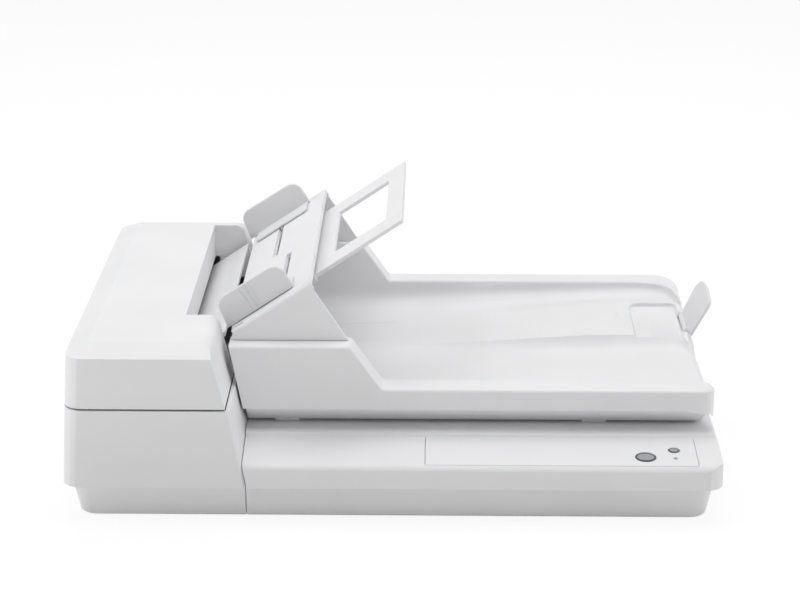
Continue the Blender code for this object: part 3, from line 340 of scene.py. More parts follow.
# ---- document cover ------------------------------------------------------------------
LID_FRONT, LID_BACK, LID_RIGHT = -108.0, 158.5, 221.5
LID_LEFT, LID_SLOPE = -109.1, 0.199          # the leaning left side, from the wall's lower edge up
LID_WALL_Z, RIM_Z, SHOULDER_Z = 64.0, 78.6, 110.2
INNER_FRONT, INNER_BACK = -85.0, 139.0       # inner edges of the long rims
SHOULDER_X, RAMP_X = -33.6, -11.5
FLOOR_LEFT_Z, FLOOR_RIGHT_Z, PLATEAU_Z = 60.0, 72.5, 79.0
FLOOR_END_X = 215.0
PLATEAU_X = (-5.8, 147.0)
SKIN = 3.0
WALL_SOFT, FLOOR_SOFT, PLATEAU_SOFT = 1.8, 8.0, 10.0     # reach over which their kinks are rounded
FRONT_CORNER, BACK_CORNER = 10.0, 24.0       # plan radii at the right end
EDGE_RADIUS, MOST_DROP = 2.2, 3.8            # of the round outer edge
END_ROUNDER = 2.8                            # what the right end adds to that radius, between these places
END_ROUND_Y = ((-93.0, -84.0), (86.0, 104.0))
EDGE_STEPS = (0.0, 0.12, 0.45, 1.0, 1.6, 2.2, 2.5)       # rows over the outer edge
RIM_BEND = (
    (184.0, 0.0), (197.0, -2.6), (205.0, -6.0), (211.0, -12.0), (215.5, -20.0), (217.6, -30.0),
    (218.6, -38.0), (219.6, -42.0), (LID_RIGHT, -44.0),
)                                            # how far the back rim's inner edge comes forward
DIP_X, DIP = (198.0, 219.0), 3.2             # where and how far the wall's lower edge dips at the right
LIP_X, LIP = (219.1, 219.8), 2.6             # the steep last part of that dip
END_WALL_X = LID_RIGHT - SKIN                # inner face of the right end
END_STEP, END_STEP_X = 3.6, 203.0            # how far the right end stands in, and where that starts
END_STEP_CUTS = (-96.0, -92.5, -89.0, -85.0)             # y of the rows across that step
NEAR_RISE, NEAR_DROP = 3.0, 2.0              # at their front the floor rises and the plateau drops
NEAR_ROWS = ((-60.0, 0.25), (-30.0, 0.65))   # y, and share of that rise that is gone
CREST_Y, CREST_SHIFT = 31.0, 15.5            # the step's line at the left, and how far it comes forward
CREST_WIDTH, CREST_WIDER, CREST_LEAD = 7.0, 4.0, 4.0     # of the slope in front of that line
CREST_TURN_X, CREST_TURN = (204.0, 217.0), 15.0          # the bend of that line at the right end
CREST_STEPS, CREST_POWER = (0.0, 0.25, 0.5, 0.7, 0.84, 0.93, 1.0), 1.7
LEVEL_ROWS = [40.0, 44.0, 46.8, 47.6, 48.4, 49.2, 50.0] + [52.0 + 2.5 * k for k in range(9)] + [76.0]
FALL_Y, FALL_LEAST, FALL_CLEAR = 82.0, 90.0, 10.0        # start and nearest end of the plateau's far slope
FALL_ROWS = [85.4, 86.3, 87.2, 88.1, 89.0, 93.0, 98.0, 104.0, 110.0, 116.0, 122.0, 127.0]
BROW, NEAR_COVE, FAR_COVE = 2.4, 4.0, 11.0   # radii of the inner edges and of the walls' feet
NEAR_MOST, BROW_MOST, COVE_MOST = 0.45, 0.3, 0.8         # most of a wall's height that they take
WALL_DRAFT = 0.4                             # lean of the inner walls
GROOVES = ((87.2, 14.0), (48.4, -8.0))       # y and right end of two fading lines in the floor
GROOVE_DEPTH, GROOVE_HALF, GROOVE_FADE = 1.7, 1.1, 40.0
DENT = (167.5, 61.0, 7.5, 11.0, 2.3)         # centre, half sizes and depth of the finger dent
MARK_FRONT, MARK_BACK = INNER_FRONT + 5.0, INNER_BACK - 12.0     # these marks lie between here
TURN_STEPS = (-2.6, -1.8, -1.2, -0.6, 0.0, 0.6, 1.2, 1.8, 2.6)       # stations about a turn of the wall
CHUTE_HINGE = (-114.0, 113.4)                # hinge lines are given by x and z
CHUTE_EARS = ((-92.0, -88.8), (139.2, 142.0))
STOPPER_HINGE = (214.4, 77.4)
STOPPER_BARREL = (28.0, 60.0)                # its front and back
WELL = (175.6, 211.4, 2.3, 85.6, 75.6)       # left, right, front, back and floor of the stopper's well
WELL_CORNERS = (6.0, 1.5, 6.0, 9.0)          # plan radii: front left, front right, back right, back left
WELL_ROUND, WELL_TOP = 0.8, 92.0
SLOT_HALF, SLOT_GAP, SLOT_TOP = 3.2, 0.4, 95.0           # of the slot that the barrel turns in
WELL_LIP = ((0.0, 1.0), (0.12, 0.6), (0.4, 0.2), (0.9, 0.0))         # its upper edge: out, and down
QUARTER = [math.radians(a) for a in (0.0, 18.0, 36.0, 54.0, 72.0, 90.0)]


def between(value, low, high):
    """Share of the way from low to high, kept within 0 and 1."""
    return min(max((value - low) / (high - low), 0.0), 1.0)


def eased(t):
    """A share with its start and end made gentle."""
    return t * t * (3.0 - 2.0 * t)


def piecewise(points, x):
    """Height at x on the line through some points."""
    for (x0, y0), (x1, y1) in zip(points, points[1:]):
        if x <= x1:
            return y0 + (y1 - y0) * between(x, x0, x1)
    return points[-1][1]


def softened(function, x, reach):
    """The mean of a function over a short stretch, which rounds its kinks."""
    return sum(function(x + reach * k / 4.0) for k in range(-4, 5)) / 9.0


def wall_height(x):
    """Top of the long walls, which fall from the shoulder to the rim."""
    return SHOULDER_Z + (RIM_Z - SHOULDER_Z) * between(x, SHOULDER_X, RAMP_X)


def floor_height(x):
    """The stacker's floor, rising to the right."""
    return FLOOR_LEFT_Z + (FLOOR_RIGHT_Z - FLOOR_LEFT_Z) * between(x, SHOULDER_X, FLOOR_END_X)


def plateau_height(x):
    """The raised part of the floor, which grows out of it towards the right."""
    grown = between(x, *PLATEAU_X) * (PLATEAU_Z - floor_height(PLATEAU_X[1]))
    return min(floor_height(x) + grown, PLATEAU_Z)


def plan_edges(x):
    """Front and back edges of the cover's plan at one x."""
    front, back = LID_FRONT, LID_BACK
    over = x - (LID_RIGHT - FRONT_CORNER)
    if over > 0:
        front += FRONT_CORNER - math.sqrt(max(FRONT_CORNER ** 2 - over ** 2, 0.0))
    over = x - (LID_RIGHT - BACK_CORNER)
    if over > 0:
        back -= BACK_CORNER - math.sqrt(max(BACK_CORNER ** 2 - over ** 2, 0.0))
    return front, back


def edge_drop(x, y):
    """How far the round outer edge lowers the surface at a place in the plan."""
    radius = EDGE_RADIUS
    away = min(y - LID_FRONT, LID_BACK - y)
    to_right = LID_RIGHT - x
    if to_right < away:
        away = to_right
        starts, ends = [between(y, *limits) for limits in END_ROUND_Y]
        radius += END_ROUNDER * starts - END_ROUNDER * ends
    for corner, inward in ((FRONT_CORNER, y - LID_FRONT), (BACK_CORNER, LID_BACK - y)):
        over, under = corner - (LID_RIGHT - x), corner - inward
        if over > 0 and under > 0:
            away = corner - math.hypot(over, under)
            radius = EDGE_RADIUS
    away = max(away, 0.0)
    if away >= radius:
        return 0.0
    return min(radius - math.sqrt(radius ** 2 - (radius - away) ** 2), MOST_DROP)


def floor_marks(x, y):
    """Small dips in the stacker floor: two fading grooves and the finger dent beside the well."""
    dip = 0.0
    for middle, end in GROOVES:
        fade = between(x, end, end - GROOVE_FADE)
        dip += GROOVE_DEPTH * fade * max(1.0 - abs(y - middle) / GROOVE_HALF, 0.0)
    reach = math.hypot((x - DENT[0]) / DENT[2], (y - DENT[1]) / DENT[3])
    return dip + DENT[4] * (1.0 - eased(min(reach, 1.0)))


def wall_low(x):
    """The wall's lower edge, which dips towards the right end."""
    return LID_WALL_Z - DIP * eased(between(x, *DIP_X)) - LIP * between(x, *LIP_X)


def drawn_in(x, y):
    """The right end stands a little further in behind the front rim's corner."""
    across = eased(between(y, END_STEP_CUTS[0], END_STEP_CUTS[-1]))
    return x - END_STEP * between(x, END_STEP_X, END_WALL_X) * across


def near_wall_rows(wall, floor):
    """From the near rim's inner edge down its wall and round the foot."""
    brow = min(BROW, NEAR_MOST * (wall - floor))
    cove = min(NEAR_COVE, NEAR_MOST * (wall - floor))
    rows = []
    for a in QUARTER:
        y = INNER_FRONT - brow * (1.0 - math.sin(a))
        rows.append((y, wall - brow * (1.0 - math.cos(a)), floor - SKIN))
    for a in QUARTER:
        y = INNER_FRONT + WALL_DRAFT + cove * (1.0 - math.cos(a))
        rows.append((y, floor + cove * (1.0 - math.sin(a)), floor - SKIN))
    return rows


def far_wall_rows(far_wall, wall, floor, foot, cove):
    """From the far wall's foot up to the far rim's inner edge."""
    rows = []
    for a in QUARTER[::-1]:
        rows.append((foot + cove * math.cos(a), floor + cove * (1.0 - math.sin(a)), floor - SKIN))
    brow = min(BROW, BROW_MOST * (wall - floor))
    for a in QUARTER[::-1]:
        y = far_wall + brow * (1.0 - math.sin(a))
        rows.append((y, wall - brow * (1.0 - math.cos(a)), floor - SKIN))
    return rows


def lid_section(x):
    """Rows across the cover at one x, front to back: (y, top, underside)."""
    wall = softened(wall_height, x, WALL_SOFT)
    low = softened(floor_height, x, FLOOR_SOFT)
    high = softened(plateau_height, x, PLATEAU_SOFT)
    share = between(x, *PLATEAU_X)
    front, back = plan_edges(x)
    base = wall_low(x)
    under = low - SKIN
    near_low = low + NEAR_RISE * share
    near_high = high - NEAR_DROP * share
    crest = CREST_Y - CREST_SHIFT * share - CREST_TURN * between(x, *CREST_TURN_X) ** 2
    far_wall = INNER_BACK + piecewise(RIM_BEND, x)

    rows = [(front + step, wall, base) for step in EDGE_STEPS]
    for y in (front + SKIN, INNER_FRONT - 2.0 * SKIN, INNER_FRONT - SKIN):
        rows.append((y, wall, wall - SKIN))
    rows += near_wall_rows(wall, near_low)

    for y, risen in NEAR_ROWS:
        rows.append((y, near_low + (low - near_low) * risen, under))
    start = crest - CREST_WIDTH - CREST_WIDER * share
    rows.append((start - CREST_LEAD, low, under))
    for t in CREST_STEPS:
        rows.append((start + (crest - start) * t, low + (near_high - low) * t ** CREST_POWER, under))

    fall = min(FALL_Y, far_wall - FALL_CLEAR)
    for y in [crest + 0.7, crest + 6.0] + LEVEL_ROWS:
        rows.append((y, near_high + (high - near_high) * between(y, crest, fall), under))
    cove = min(FAR_COVE, COVE_MOST * (wall - low))
    foot = far_wall - WALL_DRAFT - cove
    for y in [fall] + FALL_ROWS:
        y = min(y, foot - 0.2 + (y - FALL_ROWS[-1]) * 0.01)
        down = eased(between(y, FALL_Y, max(foot, FALL_LEAST)))
        rows.append((y, high + (low - high) * down, under))

    rows += far_wall_rows(far_wall, wall, low, foot, cove)
    for y in (far_wall + SKIN, back - 2.0 * SKIN, back - SKIN):
        rows.append((y, wall, wall - SKIN))
    rows += [(back - step, wall, base) for step in EDGE_STEPS[::-1]]
    return rows


def lid_stations():
    """Places along x where the cover's section is drawn, dense where it turns."""
    places = [-118.0, -100.0, -60.0, -45.0, -24.0, -18.0, -5.0, 2.0, 10.0, 20.0, 30.0]
    places += [turn + step for turn in (SHOULDER_X, RAMP_X) for step in TURN_STEPS]
    places += [40.0 + 10.0 * k for k in range(12)] + [160.0 + 2.0 * k for k in range(9)]
    places += [184.0, 190.0, END_WALL_X - 0.1, END_WALL_X]
    for k in range(10):
        for radius in (BACK_CORNER, FRONT_CORNER):
            places.append(LID_RIGHT - radius + radius * math.sin(math.radians(10.0 * k)))
    kept = []
    for x in sorted(places):
        if not kept or x - kept[-1] > 0.09:
            kept.append(x)
    return kept


def lid_body():
    """The cover's shell: a grid of top and underside points, closed at its four sides."""
    stations = lid_stations()
    points = []
    for k, x in enumerate(stations):
        rows = lid_section(x)
        for y, top, low in rows:
            top -= edge_drop(x, y)
            if MARK_FRONT < y < MARK_BACK:
                top -= floor_marks(x, y)
            if x > END_WALL_X - 0.05:
                low = min(low, wall_low(x))
            for z in (top, low):
                place = LID_LEFT - LID_SLOPE * (z - LID_WALL_Z) if k == 0 else drawn_in(x, y)
                points.append((place, y, z))
    count = len(rows)
    last = count - 1
    faces = []

    def corner(k, j, under):
        return (k * count + j) * 2 + under

    for k in range(len(stations) - 1):
        for j in range(last):
            for under in (0, 1):
                quad = [corner(k, j, under), corner(k + 1, j, under)]
                faces.append(quad + [corner(k + 1, j + 1, under), corner(k, j + 1, under)])
        for j in (0, last):
            faces.append([corner(k, j, 0), corner(k + 1, j, 0), corner(k + 1, j, 1), corner(k, j, 1)])
    for k in (0, len(stations) - 1):
        for j in range(last):
            faces.append([corner(k, j, 0), corner(k, j + 1, 0), corner(k, j + 1, 1), corner(k, j, 1)])
    return mesh_of("lid", points, faces)


def lid_top(x, y):
    """Height of the cover's top surface, without its round outer edge and its marks."""
    rows = [(row[0], row[1]) for row in lid_section(x)]
    return piecewise(rows, y)


def well_cutter():
    """The stopper's well, its upper edge rounded over along the sloping floor."""
    left, right, front, back, floor = WELL
    sides = (
        (left, 1, front, 1, 180), (right, -1, front, 1, 270),
        (right, -1, back, -1, 0), (left, 1, back, -1, 90),
    )
    plan = []
    for radius, (x, to_x, y, to_y, first) in zip(WELL_CORNERS, sides):
        for step in range(7):
            a = math.radians(first + 15 * step)
            plan.append((x + to_x * radius, y + to_y * radius, radius, math.cos(a), math.sin(a)))

    def grown(out):
        return [(cx + (r + out) * c, cy + (r + out) * s) for cx, cy, r, c, s in plan]

    rings = [[(x, y, floor) for x, y in grown(-WELL_ROUND)]]
    rings.append([(x, y, floor + WELL_ROUND) for x, y in grown(0.0)])
    for step, (out, below) in enumerate(WELL_LIP):
        least = floor + WELL_ROUND + 0.1 + 0.05 * step
        rings.append([(x, y, max(lid_top(x, y) - below, least)) for x, y in grown(out)])
    rings.append([(x, y, WELL_TOP) for x, y in grown(out)])
    return loft("well", rings)


def ears(axis, half, foot, radius, spans):
    """Lugs about a hinge line at x, z, each a block with a round top."""
    x, z = axis
    tools = []
    for y0, y1 in spans:
        tools.append(("UNION", block("ear", x - half, x + half, y0, y1, foot, z)))
        tools.append(("UNION", rod("ear_top", axis, radius, y0 + 0.05, y1 - 0.05)))
    return tools


def make_lid():
    """The cover with the stopper's well and barrel slot, and the lugs of both hinges."""
    low, high = STOPPER_BARREL[0] - SLOT_GAP, STOPPER_BARREL[1] + SLOT_GAP
    x, z = STOPPER_HINGE
    tools = [
        ("DIFFERENCE", well_cutter()),
        ("DIFFERENCE", block("slot", x - SLOT_HALF, LID_RIGHT + 2.0, low, high, z - 3.0, SLOT_TOP)),
    ]
    spans = ((STOPPER_BARREL[0] - 6.0, low), (high, STOPPER_BARREL[1] + 5.0))
    tools += ears(STOPPER_HINGE, 2.1, z - 5.0, 2.6, spans)
    tools += ears(CHUTE_HINGE, 2.2, SHOULDER_Z - 2.0, 2.3, CHUTE_EARS)
    lid = placed("document_cover_fine", combined(lid_body(), tools), "document_cover", "body_plastic")
    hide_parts("document_cover")


# ---- small pieces --------------------------------------------------------------------
CHUTE_SLOPE = math.radians(33.7)
CHUTE_APEX = (-62.3, 153.3)                  # x, z of the top of the chute's surface
CHUTE_LOW_X = -117.6
CHUTE_FRONT, CHUTE_BACK = -95.0, 145.0
CHUTE_LENGTH = (CHUTE_APEX[0] - CHUTE_LOW_X) / math.cos(CHUTE_SLOPE)
RAIL_RADIUS, RAIL_WIDTH, RAIL_DEPTH = 3.0, 3.6, 6.0      # of the chute's two side rails
PAPER_MIDDLE, PAPER_HALF = 25.0, 105.5
PINION_ALONG = 32.0
GUIDE_FOOT = ((69.6, 0.5), (13.4, 0.5), (12.9, 7.0))     # its low corners: down the chute, and off it
GUIDE_ROUNDS = (((21.6, 12.7), 33, 123), ((58.2, 13.4), 124, 199))   # its round corners: centre and turn
RACK_ASIDE = 7.0                             # from the pinion's middle to each rack
ARM_INNER, ARM_OUTER, FOOT_INNER = 21.0, 17.0, 22.0      # inwards from the guide's face
GUIDE_ROUND, GUIDE_THICK, GUIDE_EDGE = 8.6, 3.0, 0.9
RIDGES = (47.5, 43.6, 40.2)                  # distances down the chute of the guide's three ridges
RIDGE_HALF, RIDGE_LOW, RIDGE_HIGH = 0.55, 2.2, 20.6
STOPPER_LEAN = math.radians(27.0)
BLADE_FRONT_Y, BLADE_LOW, BLADE_ON_BARREL = 5.2, 3.3, 1.0
BLADE_BACK = ((61.0, 6.7), (62.4, 13.0), (63.4, 19.0))   # y, and distance from the pin
BLADE_TOP = ((42.0, 34.4), (30.0, 34.7), (17.0, 33.8))
BLADE_BACK_ROUND = ((51.7, 21.0), 12.0, -8, 78, 10)      # centre, radius, start, end and steps
BLADE_FRONT_ROUND = ((7.4, 28.9), 4.2, 102, 178, 6)
BLADE_HALF, BLADE_EDGE = 1.1, 0.7            # half its thickness, and the rounding of its rims
BARREL_RADIUS, PIN_BORE = 2.4, 1.2
BUTTON_SIDES, BUTTON_STEM = 48, 0.45         # the stem is a share of the button's radius
PANEL_LAP, PANEL_PROUD = 1.4, 0.05
SEAM = 0.45                                  # width of the open seam under the feeder cover
BED_EDGE = (-154.0, 37.3, 5.0)               # y, z and radius of the round edge below the panel
FACET = (
    (-159.0, 37.5), (-158.8, 38.6), (-158.05, 39.7),
    (-156.94, 40.8), (-155.55, 41.7), (-154.0, 42.3),
)                                            # y and z along that edge as it shows


def chute_point(along, above=0.0):
    """A point on the chute: distance down from its top, and height off its surface."""
    c, s = math.cos(CHUTE_SLOPE), math.sin(CHUTE_SLOPE)
    return (CHUTE_APEX[0] - along * c - above * s, CHUTE_APEX[1] - along * s + above * c)


def arc(centre, radius, start, end, steps):
    """Points along an arc from one angle to another."""
    angles = [math.radians(start + (end - start) * k / steps) for k in range(steps + 1)]
    return [(centre[0] + radius * math.cos(a), centre[1] + radius * math.sin(a)) for a in angles]


def inset(outline, distance):
    """The outline moved inwards, each corner along its bisector."""
    area = sum(a[0] * b[1] - b[0] * a[1] for a, b in zip(outline, outline[1:] + outline[:1]))
    turn = 1.0 if area > 0 else -1.0
    moved = []
    for k, here in enumerate(outline):
        before, after = outline[k - 1], outline[(k + 1) % len(outline)]
        sides = []
        for a, b in ((before, here), (here, after)):
            length = math.hypot(b[0] - a[0], b[1] - a[1])
            sides.append((-(b[1] - a[1]) / length * turn, (b[0] - a[0]) / length * turn))
        (ax, ay), (bx, by) = sides
        scale = distance / max(1.0 + ax * bx + ay * by, 0.4)
        moved.append((here[0] + (ax + bx) * scale, here[1] + (ay + by) * scale))
    return moved


def rounded_plate(name, outline, y0, y1, radius, steps=4):
    """A plate across Y with its two rims rounded over."""
    turns = [math.radians(90.0 * k / steps) for k in range(steps + 1)]
    levels = [(y0 + radius * (1.0 - math.cos(a)), radius * (1.0 - math.sin(a))) for a in turns]
    levels += [(y1 - radius * (1.0 - math.cos(a)), radius * (1.0 - math.sin(a))) for a in turns[::-1]]
    rings = []
    for y, depth in levels:
        rings.append([(x, y, z) for x, z in (inset(outline, depth) if depth > 0.001 else outline)])
    return loft(name, rings)


def slanted(name, start, end, y0, y1, low, high):
    """A block lying along the chute."""
    corners = [chute_point(a, b) for a, b in ((end, low), (start, low), (start, high), (end, high))]
    return loft(name, [[(x, y, z) for x, z in corners] for y in (y0, y1)])


def make_guides():
    """The side guides: rounded walls with three ridges outside, a foot, and the rack under the chute."""
    for name, s in (("front_guide", -1), ("back_guide", 1)):
        face = PAPER_MIDDLE + s * PAPER_HALF
        wall = [chute_point(*corner) for corner in GUIDE_FOOT]
        for centre, start, end in GUIDE_ROUNDS:
            wall += arc(chute_point(*centre), GUIDE_ROUND, start, end, 10)
        along = PINION_ALONG + s * RACK_ASIDE
        inner = sorted((face - s * ARM_INNER, face - s * ARM_OUTER))
        rack = sorted((face - s * (ARM_OUTER + 0.5), PAPER_MIDDLE - s * 12.0))
        foot = sorted((face - s * FOOT_INNER, face + s * 0.5))
        tools = [
            ("UNION", slanted("foot", 15, 62, *foot, 0.6, 1.9)),
            ("UNION", slanted("arm", along - 1.3, along + 1.3, *inner, -6.6, 1.2)),
            ("UNION", slanted("rack", along - 1.5, along + 1.5, *rack, -6.8, -4.0)),
        ]
        outer = sorted((face + s * 2.6, face + s * 3.75))
        for middle in RIDGES:
            before, after = middle - RIDGE_HALF, middle + RIDGE_HALF
            corners = ((before, RIDGE_LOW), (after, RIDGE_LOW), (after, RIDGE_HIGH), (before, RIDGE_HIGH))
            ridge = [chute_point(*corner) for corner in corners]
            tools.append(("UNION", rounded_plate("ridge", ridge, *outer, 0.3, 3)))
        plate = rounded_plate("wall", wall, *sorted((face, face + s * GUIDE_THICK)), GUIDE_EDGE)
        guide = placed(name + "_fine", combined(plate, tools), name, "guide_plastic")
        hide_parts(name)


def chute_trim():
    """Round-topped rails along the chute's two sides."""
    profile = [(RAIL_WIDTH, -RAIL_DEPTH), (0.0, -RAIL_DEPTH), (0.0, -RAIL_RADIUS)]
    for step in range(1, 6):
        a = math.radians(18.0 * step)
        profile.append((RAIL_RADIUS - RAIL_RADIUS * math.cos(a), -RAIL_RADIUS + RAIL_RADIUS * math.sin(a)))
    profile.append((RAIL_WIDTH, 0.0))
    parts = []
    for edge, s in ((CHUTE_FRONT, 1), (CHUTE_BACK, -1)):
        rings = []
        for along in (0.0, CHUTE_LENGTH - 0.5):
            ring = []
            for across, above in profile:
                x, z = chute_point(along, above)
                ring.append((x, edge + s * (across - 0.05), z))
            rings.append(ring)
        parts.append(loft("rail", rings))
    return parts


def make_button(name):
    """A round button with a raised rim and a shallow dished face."""
    node = NODES[name]
    corners = [node.matrix_world @ v.co / MM for v in node.data.vertices]
    left, right = min(c.x for c in corners), max(c.x for c in corners)
    near, far = min(c.y for c in corners), max(c.y for c in corners)
    low, top = min(c.z for c in corners), max(c.z for c in corners)
    centre = Vector(((left + right) / 2.0, (near + far) / 2.0, top))
    radius = (right - left) / 2.0
    stem = radius * BUTTON_STEM
    profile = [(stem, low), (stem, top - 4.0), (radius, top - 3.6), (radius, top - 0.35)]
    profile += [(radius - 0.1, top - 0.1), (radius - 0.35, top), (radius - 0.8, top)]
    profile += [(radius - 0.95, top - 0.3), (radius - 1.15, top - 0.3), (radius - 1.3, top - 0.05)]
    profile += [(radius * 0.5, top - 0.25), (0.3, top - 0.32)]
    turns = [2.0 * math.pi * k / BUTTON_SIDES for k in range(BUTTON_SIDES)]
    rings = []
    for r, z in profile:
        rings.append([(centre.x + r * math.cos(a), centre.y + r * math.sin(a), z) for a in turns])
    button = placed(name + "_fine", loft(name, rings), name, "button_plastic")
    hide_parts(name)


def make_stopper():
    """The stopper's blade, taller at the back, on its barrel."""
    low, high = STOPPER_BARREL
    outline = [(BLADE_FRONT_Y, BLADE_LOW), (low, BLADE_LOW), (low, BLADE_ON_BARREL)]
    outline += [(high, BLADE_ON_BARREL), (high, BLADE_LOW), *BLADE_BACK]
    outline += arc(*BLADE_BACK_ROUND)
    outline += BLADE_TOP
    outline += arc(*BLADE_FRONT_ROUND)
    plate = rounded_plate("blade", outline, -BLADE_HALF, BLADE_HALF, BLADE_EDGE)
    c, s = math.cos(STOPPER_LEAN), math.sin(STOPPER_LEAN)
    x, z = STOPPER_HINGE
    plate.transform(Matrix(((0, -c, s, x * MM), (1, 0, 0, 0), (0, s, c, z * MM), (0, 0, 0, 1))))
    tools = [
        ("UNION", rod("barrel", STOPPER_HINGE, BARREL_RADIUS, low, high, 32)),
        ("DIFFERENCE", rod("bore", STOPPER_HINGE, PIN_BORE, low - 5.0, high + 5.0)),
    ]
    stopper = placed("stopper_fine", combined(plate, tools), "stopper", "guide_plastic")
    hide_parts("stopper")


def flush_panel(bm):
    """The panel meets the casing without a gap at its front and back; its two side seams stay open."""
    top = max(v.co.z for v in bm.verts)
    front = min(v.co.y for v in bm.verts)
    back = max(v.co.y for v in bm.verts)
    near = 0.01 * MM
    front_top = max(v.co.z for v in bm.verts if v.co.y < front + near)
    slope = (top - front_top) / (back - front)
    for vert in bm.verts:
        for edge, s in ((front, -1), (back, 1)):
            if abs(vert.co.y - edge) < near:
                vert.co.y += s * PANEL_LAP * MM
                vert.co.z += s * PANEL_LAP * slope * MM
        vert.co.z += PANEL_PROUD * MM


def front_facet(bm):
    """The round edge in front of the panel is flatter along its middle and turns more tightly below."""
    centre_y, centre_z, radius = BED_EDGE
    for vert in bm.verts:
        y, z = vert.co.y / MM, vert.co.z / MM
        on_edge = abs(math.hypot(y - centre_y, z - centre_z) - radius) < 0.06
        if on_edge and y < centre_y - 0.01 and z > centre_z - 0.01:
            vert.co.z = piecewise(FACET, y) * MM


def lifted_seam(bm):
    """Opens the seam under the feeder cover to the width seen."""
    lowest = min(v.co.z for v in bm.verts)
    for vert in bm.verts:
        if vert.co.z < lowest + 0.1 * MM:
            vert.co.z += SEAM * MM


def set_in(bm):
    """The lower frame's right end stands in behind the front corner, as the cover's does."""
    for y in END_STEP_CUTS:
        everything = bm.verts[:] + bm.edges[:] + bm.faces[:]
        bmesh.ops.bisect_plane(bm, geom=everything, plane_co=(0, y * MM, 0), plane_no=(0, 1, 0))
    for vert in bm.verts:
        vert.co.x = drawn_in(vert.co.x / MM, vert.co.y / MM) * MM


# ---- stage -------------------------------------------------------------------------
GLOW_STRENGTH, GLOW_SHARE = 1.04, 0.84       # the floor's white as the camera sees it
FLOOR_HALF = 6.0                             # metres
SURROUND_STRENGTH = 0.35
SOFT_BOXES = (                               # name, place, aim and size in metres, and watts
    ("top_box", (0.0, 0.15, 1.7), (0.0, 0.0, 0.0), (1.8, 1.4), 15.5),
    ("left_box", (-1.6, -0.2, 0.7), (0.0, 0.0, 0.08), (1.2, 1.2), 9.5),
    ("right_box", (1.6, -0.1, 0.7), (0.0, 0.0, 0.08), (1.2, 1.2), 6.5),
    ("back_box", (0.0, 1.3, 1.1), (0.0, 0.0, 0.08), (1.6, 0.8), 3.5),
    ("table_glow", (0.0, -0.95, 0.01), (0.0, -0.9, 1.0), (2.0, 0.9), 10.0),
)


def white_for_camera(mat, shader_socket, strength, share):
    """Mixes a white glow into what the camera, reflections and glass see of a stage surface."""
    nodes, links = mat.node_tree.nodes, mat.node_tree.links
    path = nodes.new("ShaderNodeLightPath")
    seen = nodes.new("ShaderNodeMath")
    seen.operation = "MAXIMUM"
    links.new(path.outputs["Is Camera Ray"], seen.inputs[0])
    links.new(path.outputs["Is Glossy Ray"], seen.inputs[1])
    also = nodes.new("ShaderNodeMath")
    also.operation = "MAXIMUM"
    links.new(seen.outputs[0], also.inputs[0])
    links.new(path.outputs["Is Transmission Ray"], also.inputs[1])
    part = nodes.new("ShaderNodeMath")
    part.operation = "MULTIPLY"
    part.inputs[1].default_value = share
    links.new(also.outputs[0], part.inputs[0])
    glow = nodes.new("ShaderNodeEmission")
    glow.inputs["Strength"].default_value = strength
    mix = nodes.new("ShaderNodeMixShader")
    links.new(part.outputs[0], mix.inputs["Fac"])
    links.new(shader_socket, mix.inputs[1])
    links.new(glow.outputs[0], mix.inputs[2])
    links.new(mix.outputs[0], nodes["Material Output"].inputs["Surface"])


def make_floor():
    """A matt floor that keeps the object's shadow."""
    mat, _, _, shader = new_material("floor")
    shader.inputs["Base Color"].default_value = (0.88, 0.88, 0.88, 1.0)
    shader.inputs["Roughness"].default_value = 0.9
    shader.inputs["Specular IOR Level"].default_value = 0.0
    white_for_camera(mat, shader.outputs[0], GLOW_STRENGTH, GLOW_SHARE)
    bm = bmesh.new()
    bmesh.ops.create_grid(bm, x_segments=1, y_segments=1, size=FLOOR_HALF)
    mesh = bpy.data.meshes.new("floor")
    bm.to_mesh(mesh)
    bm.free()
    floor = bpy.data.objects.new("floor", mesh)
    bpy.context.scene.collection.objects.link(floor)
    mesh.materials.append(mat)


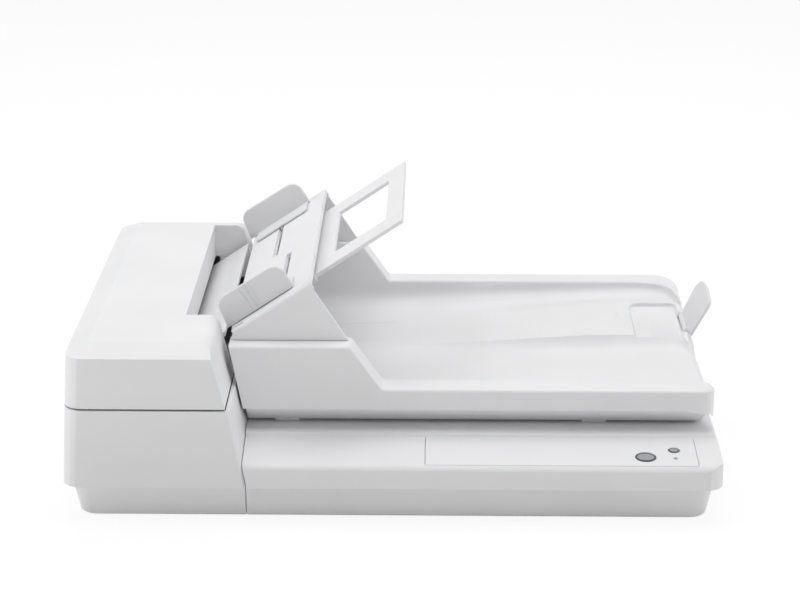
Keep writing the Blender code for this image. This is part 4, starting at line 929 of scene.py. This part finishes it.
def make_world(strength):
    """An even surround, white where the camera sees it."""
    world = bpy.data.worlds.new("surround")
    bpy.context.scene.world = world
    world.use_nodes = True
    nodes, links = world.node_tree.nodes, world.node_tree.links
    surround = nodes["Background"]
    surround.inputs["Color"].default_value = (1.0, 1.0, 1.0, 1.0)
    surround.inputs["Strength"].default_value = strength
    behind = nodes.new("ShaderNodeBackground")
    path = nodes.new("ShaderNodeLightPath")
    mix = nodes.new("ShaderNodeMixShader")
    links.new(path.outputs["Is Camera Ray"], mix.inputs["Fac"])
    links.new(surround.outputs[0], mix.inputs[1])
    links.new(behind.outputs[0], mix.inputs[2])
    links.new(mix.outputs[0], nodes["World Output"].inputs["Surface"])


def soft_box(name, place, aim, size, watts):
    light = bpy.data.lights.new(name, "AREA")
    light.shape = "RECTANGLE"
    light.size, light.size_y = size
    light.energy = watts
    lamp = bpy.data.objects.new(name, light)
    bpy.context.scene.collection.objects.link(lamp)
    lamp.location = place
    lamp.rotation_euler = (Vector(aim) - Vector(place)).to_track_quat("-Z", "Y").to_euler()


def make_camera():
    camera = bpy.data.cameras.new("camera")
    camera.sensor_fit = "HORIZONTAL"
    camera.sensor_width = CAMERA_SENSOR
    camera.lens = CAMERA_LENS
    holder = bpy.data.objects.new("camera", camera)
    bpy.context.scene.collection.objects.link(holder)
    holder.location = CAMERA_PLACE
    holder.rotation_euler = [math.radians(a) for a in CAMERA_TURN]
    bpy.context.scene.camera = holder


# ---- build ---------------------------------------------------------------------------
for node_name in NODES:
    dress(node_name)

for node_name, edge in (("tower_shell", 1.0), ("bottom_tray", 0.8), ("chute_extension", 0.6)):
    refined(node_name, edge)
refined("bed_shell", 0.7, change=front_facet)
refined("operator_panel", 0.05, change=flush_panel)
refined("feeder_cover", 0.9, change=lifted_seam)
refined("cover_lower_frame", 0.8, change=set_in)
refined("paper_chute", 0.3, additions=chute_trim())
make_guides()
make_stopper()
make_button("scan_button")
make_button("power_button")
make_lid()

make_floor()
make_world(SURROUND_STRENGTH)
for row in SOFT_BOXES:
    soft_box(*row)
make_camera()
bpy.context.scene.view_settings.view_transform = "Standard"
